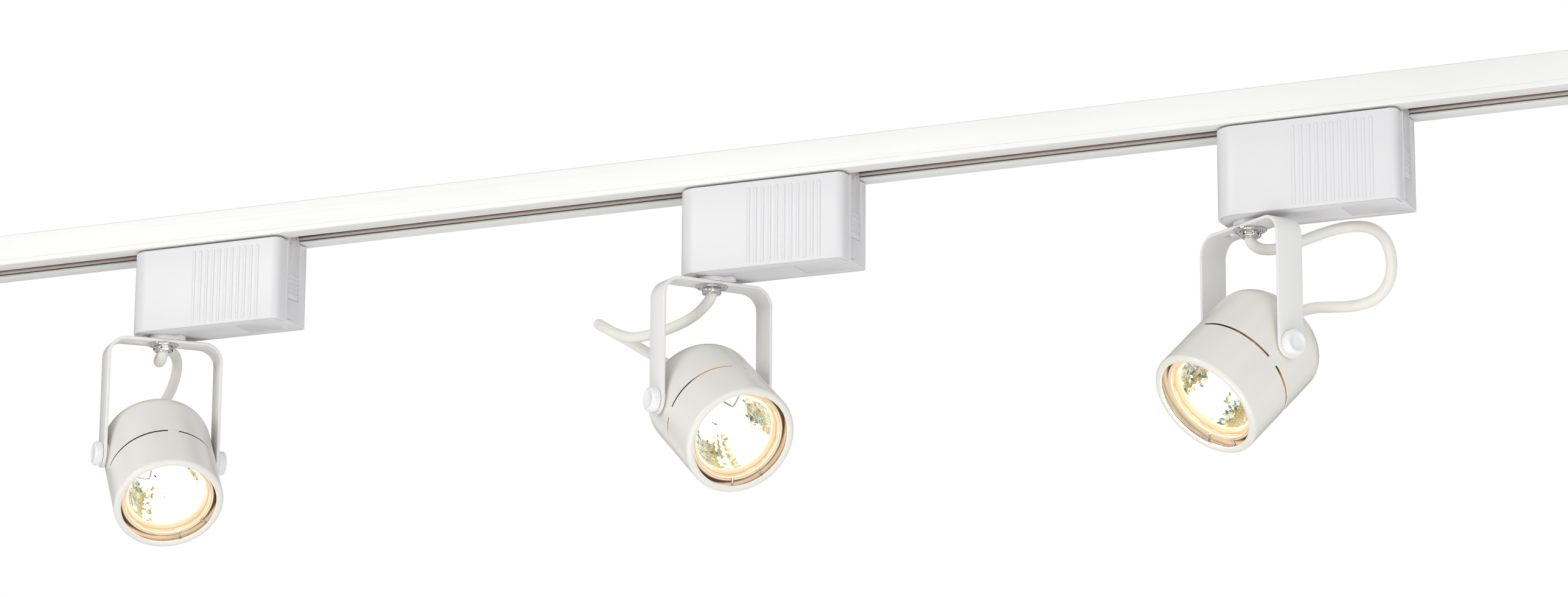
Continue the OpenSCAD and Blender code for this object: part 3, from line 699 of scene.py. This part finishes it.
def dressed(node, name, material, body, width, segments=2):
    """A copy of a CAD node with clean flat faces and rounded edges, standing for it."""
    bm = bmesh.new()
    bm.from_mesh(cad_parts[node].data)
    bmesh.ops.transform(bm, matrix=Matrix.Scale(1 / MM, 4), verts=bm.verts)
    bmesh.ops.remove_doubles(bm, verts=bm.verts, dist=0.002)
    bmesh.ops.dissolve_limit(bm, angle_limit=math.radians(0.6), verts=bm.verts, edges=bm.edges)
    obj = to_object(name, bm, [material])
    for polygon in obj.data.polygons:
        polygon.material_index = 0
    bevel(obj, width, segments)
    return finish_piece(obj, Matrix.Scale(MM, 4), body, [node])


def recolour(node, material):
    """Gives a CAD node that stays its finished material."""
    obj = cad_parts[node]
    for slot in obj.material_slots:
        slot.material = material


dressed("end_cap", "track_end_cap", MAT["housing"], "track", 0.35)
dressed("feed_housing", "live_end_feed", MAT["housing"], "track", 0.5, 3)
recolour("track_insulators", MAT["insulator"])
recolour("track_conductors", MAT["copper"])
recolour("feed_terminals", MAT["brass"])


# ---------------------------------------------------------------- adapters

RIBS = 11
RIB_FIRST = 28.7
RIB_PITCH = 4


def make_cover(i):
    """Front half of the transformer housing with its raised ribs."""
    outline = rounded_outline(BOX_X[0], BOX_Y[0], BOX_X[1], BOX_Y[1], (12, 4, 3, 3), 14)
    inner = rounded_outline(BOX_X[0] + BOX_WALL, BOX_Y[0] + BOX_WALL, BOX_X[1] - BOX_WALL, BOX_Y[1],
                            (10.2, 2.2, 1, 1), 14)
    obj = prism(clip_outline(outline, SEAM_Y - 0.05, True), BOX_Z[0], BOX_Z[1])
    hollow = prism(clip_outline(inner, SEAM_Y + 4, True), BOX_Z[0] - 2, BOX_Z[1] - BOX_WALL)
    carve(obj, [hollow])
    bevel(obj, 0.55, 3)
    obj.name = f"ribbed_cover_{i + 1}"
    bm = reopen(obj)
    low, high = BOX_Z[0] + 1.5, BOX_Z[1] - 3.6
    middle, half = (low + high) / 2, (high - low) / 2
    for k in range(RIBS):
        x = RIB_FIRST + RIB_PITCH * k
        rings = []
        for inset, proud in ((0.0, -0.4), (0.0, 0.12), (0.1, 0.32), (0.3, 0.46), (0.5, 0.5)):
            shape = stadium(half - inset, 0.8 - inset)
            rings.append([(x + px, BOX_Y[0] - proud, middle + pz) for px, pz in shape])
        add_rings(bm, rings)
    bead = rounded_outline(BOX_X[1] - 1, SEAM_Y - 1.25, BOX_X[1] + 0.6, SEAM_Y - 0.15,
                           (0.05, 0.4, 0.4, 0.05), 4)
    add_prism(bm, bead, BOX_Z[0] + 1, BOX_Z[1] - 0.3)
    store(obj, bm, [MAT["housing"]])
    finish_piece(obj, at_spot(i), f"adapter_{i + 1}", [f"adapter_cover_{i + 1}"])


for i in range(3):
    n = i + 1
    make_cover(i)
    dressed(f"adapter_back_{n}", f"housing_back_{n}", MAT["housing"], f"adapter_{n}", 0.3)
    dressed(f"latch_lever_{n}", f"release_lever_{n}", MAT["housing"], f"latch_{n}", 0.22)
    dressed(f"swivel_disc_{n}", f"swivel_boss_{n}", MAT["housing"], f"adapter_{n}", 0.3)
    dressed(f"contact_head_{n}", f"contact_carrier_{n}", MAT["insulator"], f"adapter_{n}", 0.3)
    recolour(f"contact_blades_{n}", MAT["brass"])
    recolour(f"cover_screws_{n}", MAT["zinc"])
    recolour(f"transformer_{n}", MAT["core"])


# ---------------------------------------------------------------- swivels and yokes

HEX_R = 5.6
NUT_R = 7.5
NUT_Z = (-61.4, -58.9)


def make_nipple(i):
    """Chromed hollow nipple: hidden nut, stepped flange, hexagon and a ferrule round the cable."""
    bm = bmesh.new()
    top = WEB_TOP - STRAP_T
    flange = [(3.2, top + 12), (5, top + 12), (5, top), (8.0, top), (8.4, top - 0.25), (8.4, top - 0.55),
              (8.1, top - 0.8), (7.3, top - 0.85), (7.0, top - 0.45), (6.6, top - 0.45), (6.35, top - 0.9),
              (6.0, top - 1.15), (5.2, top - 1.2), (3.2, top - 1.2)]
    add_lathe(bm, flange, 96)
    z0, z1 = top - 1.2, top - 4.2
    hexagon = []
    for inset, z in ((0.5, z0 + 0.02), (0.1, z0 - 0.3), (0.0, z0 - 0.55), (0.0, z1 + 0.9),
                     (0.15, z1 + 0.5), (0.55, z1 + 0.15), (0.9, z1)):
        ring = []
        for k in range(6):
            for side in (-2, -1, 1, 2):
                a = math.radians(60 * k) + side * 0.05
                reach = HEX_R - inset - 0.05 * abs(side)
                ring.append((reach * math.cos(a), reach * math.sin(a), z))
        hexagon.append(ring)
    add_rings(bm, hexagon)
    collar = [(3.1, z1 + 0.4), (4.3, z1 + 0.4), (4.3, z1 - 0.05), (4.1, z1 - 0.3),
              (3.5, z1 - 0.3), (3.1, z1 - 0.1)]
    add_lathe(bm, collar, 72)
    obj = to_object(f"chrome_nipple_{i + 1}", bm, [MAT["chrome"]])
    nut = prism(ring_points(NUT_R, 48), *NUT_Z)
    bm = reopen(obj)
    bm.from_mesh(nut.data)
    bpy.data.objects.remove(nut)
    bm.to_mesh(obj.data)
    bm.free()
    finish_piece(obj, at_yoke(i), f"yoke_{i + 1}", [f"swivel_nipple_{i + 1}"], smooth=30)


def yoke_stations():
    """Points along the strap's middle line, with the outward direction and half width."""
    middle = YOKE_HALF + STRAP_T / 2
    bend = YOKE_BEND - STRAP_T / 2
    top = WEB_TOP - STRAP_T / 2
    left = []
    for k in range(11):
        a = math.radians(90 - 9 * k) if k else math.radians(84)
        half = max(STRAP_HALF * math.cos(a), 0.8)
        left.append((-middle, PIVOT_Z - STRAP_HALF * math.sin(a), (-1, 0), half))
    left.append((-middle, (PIVOT_Z + top - bend) / 2, (-1, 0), STRAP_HALF))
    for x, z in arc(bend - middle, top - bend, bend, 180, 90, 14):
        out = Vector((x - (bend - middle), z - (top - bend))).normalized()
        left.append((x, z, (out.x, out.y), STRAP_HALF))
    right = [(-x, z, (-ox, oz), w) for x, z, (ox, oz), w in reversed(left)]
    return left + right


def make_yoke(i):
    """Steel strap bent to a U, with rolled edges, a lanced slot and its stop tab."""
    rings = []
    for x, z, (ox, oz), half in yoke_stations():
        section = rounded_outline(-STRAP_T / 2, -half, STRAP_T / 2, half, (0.35,) * 4, 3)
        rings.append([(x + ox * t, y, z + oz * t) for t, y in section])
    bm = bmesh.new()
    add_rings(bm, rings)
    obj = to_object(f"yoke_strap_{i + 1}", bm, [])
    slot = prism(rounded_outline(-18.7, -2.3, -11.3, 2.3, (0.7,) * 4, 4), WEB_TOP - 4, WEB_TOP + 2)
    bore = prism(ring_points(5, 40), WEB_TOP - 4, WEB_TOP + 2)
    carve(obj, [slot, bore])
    bm = reopen(obj)
    tab = ((-11.3, -0.8), (-9.9, -0.8), (-9.9, 1.3), (-10.2, 1.6), (-11.0, 1.6), (-11.3, 1.3))
    add_rings(bm, [[(x, y, WEB_TOP + rise) for x, rise in tab] for y in (-2.2, 2.2)])
    store(obj, bm, [MAT["yoke"]])
    finish_piece(obj, at_yoke(i), f"yoke_{i + 1}", [f"yoke_{i + 1}"], smooth=30)


for i in range(3):
    make_nipple(i)
    make_yoke(i)


# ---------------------------------------------------------------- heads

HEAD_SEGMENTS = 160
VENTS = 12
VENT_RING = 23.5
VENT_R = 1.2


def arc_patch(bm, r0, r1, z0, z1, middle, half_width):
    """A curved block on a ring, given by its radii, heights and middle angle."""
    steps = 6
    half = math.asin(half_width / r1)
    rings = []
    for k in range(steps + 1):
        a = middle + half * (2 * k / steps - 1)
        c, s = math.cos(a), math.sin(a)
        corners = ((r0, z0), (r1, z0), (r1, z1), (r0, z1))
        rings.append([(r * c, r * s, z) for r, z in corners])
    add_rings(bm, rings)


def line_inside(obj, wall):
    """Gives the faces inside the can the dark inner colour, and near the rim the lining's painted lamplight;
    the edges of the slot take the dark colour as painted shade.
    """
    mesh = obj.data
    marks = mesh.uv_layers.new(name="depth")
    for polygon in mesh.polygons:
        x, y, z = polygon.center
        reach = math.hypot(x, y)
        turn = HEAD_REAR + REAR_CORNER - z
        depth = HEAD_R - reach
        if turn > 0:
            over = reach - (HEAD_R - REAR_CORNER)
            depth = REAR_CORNER - math.hypot(over, turn) if over > 0 else REAR_CORNER - turn
        # the slot's edge faces take the dark inner colour as painted shade
        at_slot = abs(polygon.normal.z) > 0.9 and GAP_REAR - 0.1 < z < GAP_FRONT + 0.1
        if at_slot or (depth > wall and z < HEAD_FRONT - 2.6):
            polygon.material_index = 2 if z > GAP_FRONT + 2 else 1
        for index in polygon.loop_indices:
            at = mesh.vertices[mesh.loops[index].vertex_index].co
            marks.data[index].uv = ((at.z - GAP_FRONT) / (HEAD_FRONT - GAP_FRONT), 0)


def inside_shade_and_glow(i):
    """The left lamp's slot gets the painted shade alone, and the other two also get the painted glow of the
    lamp's light.
    """
    return MAT["inside_lit" if i else "inside"]


def make_front_shell(i):
    """Front half of the can with its rolled rim and the bridges of the cooling slot."""
    inner = HEAD_R - SHELL_T
    profile = ([(inner, GAP_FRONT), (HEAD_R - 0.3, GAP_FRONT), (HEAD_R, GAP_FRONT + 0.3)]
               + arc(HEAD_R - 2.2, HEAD_FRONT - 2.2, 2.2, 0, 90, 8)
               + arc(RIM_R + 0.9, HEAD_FRONT - 0.9, 0.9, 90, 270, 9)
               + [(inner - 0.6, HEAD_FRONT - 1.8), (inner, HEAD_FRONT - 2.5), (inner, HEAD_FRONT - 2.7)])
    bm = bmesh.new()
    add_lathe(bm, profile, HEAD_SEGMENTS)
    for k in range(4):
        arc_patch(bm, inner - 1.2, HEAD_R - 0.03, GAP_REAR - 0.02, GAP_FRONT + 0.3, math.radians(90 * k), 3)
        arc_patch(bm, inner - 1.2, inner - 0.02, GAP_REAR - 4, GAP_FRONT + 3, math.radians(90 * k), 3)
    # inner faces take painted shade and glow, faces near the rim the painted lamplight
    obj = to_object(f"head_front_{i + 1}", bm, [MAT["head"], inside_shade_and_glow(i), MAT["lining"]])
    line_inside(obj, SHELL_T - 0.2)
    finish_piece(obj, at_head(i), f"head_{i + 1}", [f"front_shell_{i + 1}"], smooth=32)


def make_rear_shell(i):
    """Rear half of the can: a deep cup with vent holes, knob bosses and the cable hole."""
    inner = HEAD_R - SHELL_T
    corner, back = REAR_CORNER, HEAD_REAR
    outside = ([(HEAD_R - 0.3, GAP_REAR), (HEAD_R, GAP_REAR - 0.3)]
               + arc(HEAD_R - corner, back + corner, corner, 0, -90, 16)
               + [(4.1, back), (3.7, back + 0.35)])
    inside = ([(3.7, back + SHELL_T)]
              + arc(HEAD_R - corner, back + corner, corner - SHELL_T, -90, 0, 12)
              + [(inner, GAP_REAR)])
    bm = bmesh.new()
    add_lathe(bm, outside + inside, HEAD_SEGMENTS)
    obj = to_object(f"head_rear_{i + 1}", bm, [])
    bm = bmesh.new()
    for cx, cy in ring_points(VENT_RING, VENTS, math.pi / VENTS):
        add_prism(bm, [(cx + x, cy + y) for x, y in ring_points(VENT_R, 20)], back - 2, back + 7)
    carve(obj, [to_object("vents", bm, [])])
    bm = reopen(obj)
    for side in (-1, 1):
        pad = [(2.05, 24.5), (4.5, 24.5), (4.5, 28.4), (6, 28.4), (6, 29.7), (5.6, 30.1), (2.05, 30.1)]
        rings = [[(side * x, py, pz) for py, pz in ring_points(r, 40)] for r, x in pad]
        add_rings(bm, rings, close=True)
    # inner faces take painted shade, with a painted glow in the lit lamps
    store(obj, bm, [MAT["head"], inside_shade_and_glow(i)])
    line_inside(obj, SHELL_T - 0.2)
    finish_piece(obj, at_head(i), f"head_{i + 1}", [f"rear_shell_{i + 1}"], smooth=32)


def bowl_point(t, rim, neck, top, bottom):
    """A point (r, z) of the reflector's curve, from its rim at t = 0 to its neck at t = 1."""
    a = t * math.pi / 2
    return neck + (rim - neck) * math.cos(a), bottom + (top - bottom) * (1 - math.sin(a))


# Where the reflector shows its film instead of glare: middle angle and half width
FILM_SECTORS = (((34, 34), (200, 40), (222, 26)),
                ((30, 40), (222, 44), (250, 26)),
                ((142, 40), (262, 44), (290, 20)))
# Where gold streaks run down towards the neck, and how wide that sector is
STREAK_SECTORS = ((262, 30), (282, 30), (236, 34))
# How fully the film shows in each lamp's sectors
FILM_SHARE = (1.6, 1.6, 1.15)


def nearness(angle, middle, half):
    """1 at the middle of a sector, 0 at its edge and negative outside."""
    apart = abs((math.degrees(angle) - middle + 180) % 360 - 180)
    return 1 - (apart / half) ** 2


def glare_and_tint(i, angle, depth, row, column):
    """How brightly a facet glares, and which film colour it shows."""
    sector = max(nearness(angle, middle, half) for middle, half in FILM_SECTORS[i])
    outer = min(max((math.cos(depth * math.pi / 2) - 0.45) / 0.3, 0), 1)
    spot = noise.noise(Vector((row * 3.7 + 0.4, column * 1.9 + 0.3, i * 5.3 + 0.7)))
    streak = noise.noise(Vector((column * 2.7 + 0.2, 0.5, i * 3.1 + 0.6)))
    glare = 1.0 - FILM_SHARE[i] * max(sector, 0) * outer + 0.55 * spot + 0.2 * streak * outer
    tint = 0.46 + 0.9 * spot + 0.3 * streak
    run = nearness(angle, *STREAK_SECTORS[i])
    if run > 0 and streak > -0.05 and depth < 0.8:
        glare -= 0.75 * run
        tint = 0.52 + 0.3 * streak
    return min(max(glare, 0), 1), min(max(tint, 0), 1)


# The rim's bands run from where the facets end to the lamp's edge
RIM_START = 20.6
LAMP_R = 25
RIM_BAND = 4.4
PIN_X = 2.665
FACET_ROWS = 20
FACET_COLUMNS = 64


def make_lamp(i):
    """Multifaceted reflector lamp: facets, glass, rim, burner, base and pins."""
    bm = bmesh.new()
    uv = bm.loops.layers.uv.new("facets")
    rows, columns = FACET_ROWS, FACET_COLUMNS
    verts = []
    for row in range(rows + 1):
        r, z = bowl_point(row / rows, 20.7, 5, LAMP_FRONT - 5, 12)
        shift = math.pi / columns * (row % 2)
        verts.append([bm.verts.new((x, y, z)) for x, y in ring_points(r, columns, shift)])
    for row in range(rows):
        for k in range(columns):
            n = (k + 1) % columns
            face = bm.faces.new((verts[row][k], verts[row][n], verts[row + 1][n], verts[row + 1][k]))
            mark = glare_and_tint(i, 2 * math.pi * (k + 0.5) / columns, (row + 0.5) / rows, row, k)
            for loop in face.loops:
                loop[uv].uv = mark
    glass = [(0.02, LAMP_FRONT - 1.4), (23.0, LAMP_FRONT - 1.4),
             (23.0, LAMP_FRONT - 0.6), (0.02, LAMP_FRONT - 0.6)]
    add_lathe(bm, glass, 96, close=False, material=1)
    rim = ((RIM_START, 5.2), (21.6, 3.6), (21.8, 3.0), (22.5, 2.2), (22.6, 1.5), (23.1, 1.4), (23.2, 0.2),
           (23.9, 0), (24.1, 0.4), (24.6, 0.1), (LAMP_R, 0.5), (LAMP_R, 3), (24.3, 3.4), (22.2, 5.2))
    for face in add_lathe(bm, [(r, LAMP_FRONT - deep) for r, deep in rim], 96, material=2):
        for loop in face.loops:
            reach = math.hypot(loop.vert.co.x, loop.vert.co.y)
            loop[uv].uv = ((reach - RIM_START) / RIM_BAND, 0)
    outer = [bowl_point(t / 10, 24.1, 8.5, LAMP_FRONT - 3, 8) for t in range(11)]
    inner = [(r - 0.5, z + 0.5) for r, z in reversed(outer)]
    add_lathe(bm, outer + inner, 72, material=3)
    burner = [(0.02, 10)] + [(3.3, 10.2), (3.5, 12)] + arc(0, 22, 3.5, 0, 80, 8) + [(0.02, 25.6)]
    add_lathe(bm, burner, 32, close=False, material=4)
    base = rounded_outline(-8, -4.2, 8, 4.2, (1.2,) * 4, 5)
    add_prism(bm, base, -2, 10, material=5)
    for side in (-1, 1):
        pin = [(side * PIN_X + x, y) for x, y in ring_points(0.75, 16)]
        add_prism(bm, pin, -8, -1, material=6)
    used = ("reflector", "glass", "rim", "reflector_back", "burner", "porcelain", "steel")
    obj = to_object(f"reflector_lamp_{i + 1}", bm, [MAT[key] for key in used])
    finish_piece(obj, at_head(i), f"head_{i + 1}", [f"lamp_{i + 1}"], smooth=20)


def add_wire(bm, points, radius, sides=12, closed=False):
    """A round wire through points."""
    count = len(points)
    side = Vector((0, 0, 1))
    rings = []
    for k, point in enumerate(points):
        if closed:
            ahead = (points[(k + 1) % count] - points[k - 1]).normalized()
        else:
            ahead = (points[min(k + 1, count - 1)] - points[max(k - 1, 0)]).normalized()
        across = (side - side.dot(ahead) * ahead).normalized()
        other = ahead.cross(across)
        rings.append([point + radius * (math.cos(a) * across + math.sin(a) * other)
                      for a in (2 * math.pi * n / sides for n in range(sides))])
    add_rings(bm, rings, close=closed)


def make_clip(i):
    """Spring wire clip: a ring behind the rim, a bent grip and two legs over the glass."""
    bm = bmesh.new()
    turn = math.radians(CLIP_TURN[i])
    ring = [Vector((x, y, CLIP_Z)) for x, y in ring_points(CLIP_R, 96)]
    add_wire(bm, ring, 0.6, closed=True)
    for angle in (180 - CLIP_SPREAD, 180 + CLIP_SPREAD):
        a = turn + math.radians(angle)
        start, end = (Vector((r * math.cos(a), r * math.sin(a), z))
                      for r, z in ((27.4, CLIP_Z), (22.6, 37.6)))
        add_wire(bm, [start, start.lerp(end, 0.4), start.lerp(end, 0.8), end], 0.55)
    grip = ((27.0, -6.6), (23.5, -4.0), (20.4, -1.3), (19.3, 0), (20.4, 1.3), (23.5, 4.0), (27.0, 6.6))
    rotate = Matrix.Rotation(turn, 3, "Z")
    add_wire(bm, [rotate @ Vector((x, y, CLIP_Z)) for x, y in grip], 0.55)
    obj = to_object(f"wire_clip_{i + 1}", bm, [MAT["steel"]])
    finish_piece(obj, at_head(i), f"head_{i + 1}", [f"lamp_clip_{i + 1}"], smooth=50)


def make_knob(i, side):
    """Knurled thumbscrew: ribbed edge, chamfered face with a shallow dish, steel shaft."""
    bm = bmesh.new()
    seat, thick, ribs = 32.1, 4.6, 30
    count = ribs * 6
    shape = ((5.9, 0.0, 0), (6.25, 0.35, 1), (6.25, thick - 1.1, 1), (6.0, thick - 0.6, 0.7),
             (5.5, thick - 0.2, 0.1), (4.8, thick, 0), (4.3, thick - 0.05, 0), (4.0, thick - 0.3, 0),
             (2.0, thick - 0.42, 0), (0.05, thick - 0.45, 0))
    rings = []
    for radius, x, knurl in shape:
        ring = []
        for k in range(count):
            a = 2 * math.pi * k / count
            r = radius + 0.22 * knurl * abs(math.cos(a * ribs / 2)) ** 0.7
            ring.append((side * (seat + x), r * math.cos(a), r * math.sin(a)))
        rings.append(ring)
    add_rings(bm, rings)
    shaft = [[(side * x, y, z) for y, z in ring_points(r, 32)] for x, r in ((25, 1.7), (25.3, 2), (32.3, 2))]
    add_rings(bm, shaft, material=1)
    name = f"{'right' if side > 0 else 'left'}_{i + 1}"
    obj = to_object(f"thumbscrew_{name}", bm, [MAT["knob"], MAT["zinc"]])
    finish_piece(obj, at_head(i), f"knob_{name}", [f"knob_{name}"], smooth=40)


for i in range(3):
    make_front_shell(i)
    make_rear_shell(i)
    make_lamp(i)
    make_clip(i)
    make_knob(i, -1)
    make_knob(i, 1)
    n = i + 1
    dressed(f"lamp_socket_{n}", f"lamp_holder_{n}", MAT["porcelain"], f"head_{n}", 0.5)


# ---------------------------------------------------------------- studio

FLOOR_Z = -6.5
WORLD_LIGHT = 0.66


def make_floor():
    """A plain pale floor far below the hanging track."""
    bm = bmesh.new()
    bmesh.ops.create_grid(bm, x_segments=2, y_segments=2, size=30)
    s = Shader("studio_floor")
    cloud = s.noise(0.6, 3, 0.5)
    s.set(Base_Color=s.ramp(cloud, [(0.3, (0.86, 0.86, 0.86)), (0.7, (0.9, 0.9, 0.9))]), Roughness=0.8)
    obj = to_object("studio_floor", bm, [s.material])
    obj.data.transform(Matrix.Translation((0, 0, FLOOR_Z)))


def add_light(name, at, aim, size, power, colour=(1, 1, 1)):
    data = bpy.data.lights.new(name, "AREA")
    data.shape = "RECTANGLE"
    data.size, data.size_y = size
    data.energy = power
    data.color = colour
    obj = bpy.data.objects.new(name, data)
    bpy.context.collection.objects.link(obj)
    obj.location = at
    obj.rotation_euler = (Vector(aim) - Vector(at)).to_track_quat("-Z", "Y").to_euler()


def make_world():
    """White surroundings, dimmer as a light source, with dark flags for the chrome to mirror."""
    world = bpy.data.worlds.new("studio")
    bpy.context.scene.world = world
    world.use_nodes = True
    tree = world.node_tree
    tree.nodes.clear()

    def backdrop(colour, strength):
        made = tree.nodes.new("ShaderNodeBackground")
        made.inputs["Color"].default_value = (*colour, 1)
        made.inputs["Strength"].default_value = strength
        return made

    output = tree.nodes.new("ShaderNodeOutputWorld")
    seen = backdrop((1, 1, 1), 1.0)
    light = backdrop((0.97, 0.985, 1.0), WORLD_LIGHT)
    mirrored = backdrop((1, 1, 1), 0.9)
    coords = tree.nodes.new("ShaderNodeTexCoord")
    patches = tree.nodes.new("ShaderNodeTexNoise")
    patches.inputs["Scale"].default_value = 2.8
    patches.inputs["Detail"].default_value = 1.0
    flags = tree.nodes.new("ShaderNodeValToRGB")
    flags.color_ramp.elements[0].position = 0.50
    flags.color_ramp.elements[0].color = (0.03, 0.025, 0.02, 1)
    flags.color_ramp.elements[1].position = 0.57
    tree.links.new(coords.outputs["Generated"], patches.inputs["Vector"])
    tree.links.new(patches.outputs["Fac"], flags.inputs["Fac"])
    tree.links.new(flags.outputs["Color"], mirrored.inputs["Color"])
    path = tree.nodes.new("ShaderNodeLightPath")
    inner = tree.nodes.new("ShaderNodeMixShader")
    tree.links.new(path.outputs["Is Glossy Ray"], inner.inputs[0])
    tree.links.new(light.outputs[0], inner.inputs[1])
    tree.links.new(mirrored.outputs[0], inner.inputs[2])
    mix = tree.nodes.new("ShaderNodeMixShader")
    tree.links.new(path.outputs["Is Camera Ray"], mix.inputs[0])
    tree.links.new(inner.outputs[0], mix.inputs[1])
    tree.links.new(seen.outputs[0], mix.inputs[2])
    tree.links.new(mix.outputs[0], output.inputs["Surface"])


make_floor()
make_world()
add_light("key", (-1.6, -2.6, 0.7), (0, 0, -0.08), (1.6, 1.2), 30, (1.0, 0.99, 0.97))
add_light("bounce", (0.3, -0.9, -1.7), (0, 0, -0.06), (2.4, 1.2), 14, (1.0, 0.985, 0.97))
add_light("fill", (2.4, -1.6, -0.6), (0, 0, -0.08), (1.4, 1.4), 16)
bpy.context.scene.view_settings.view_transform = "Standard"
bpy.context.scene.view_settings.look = "None"
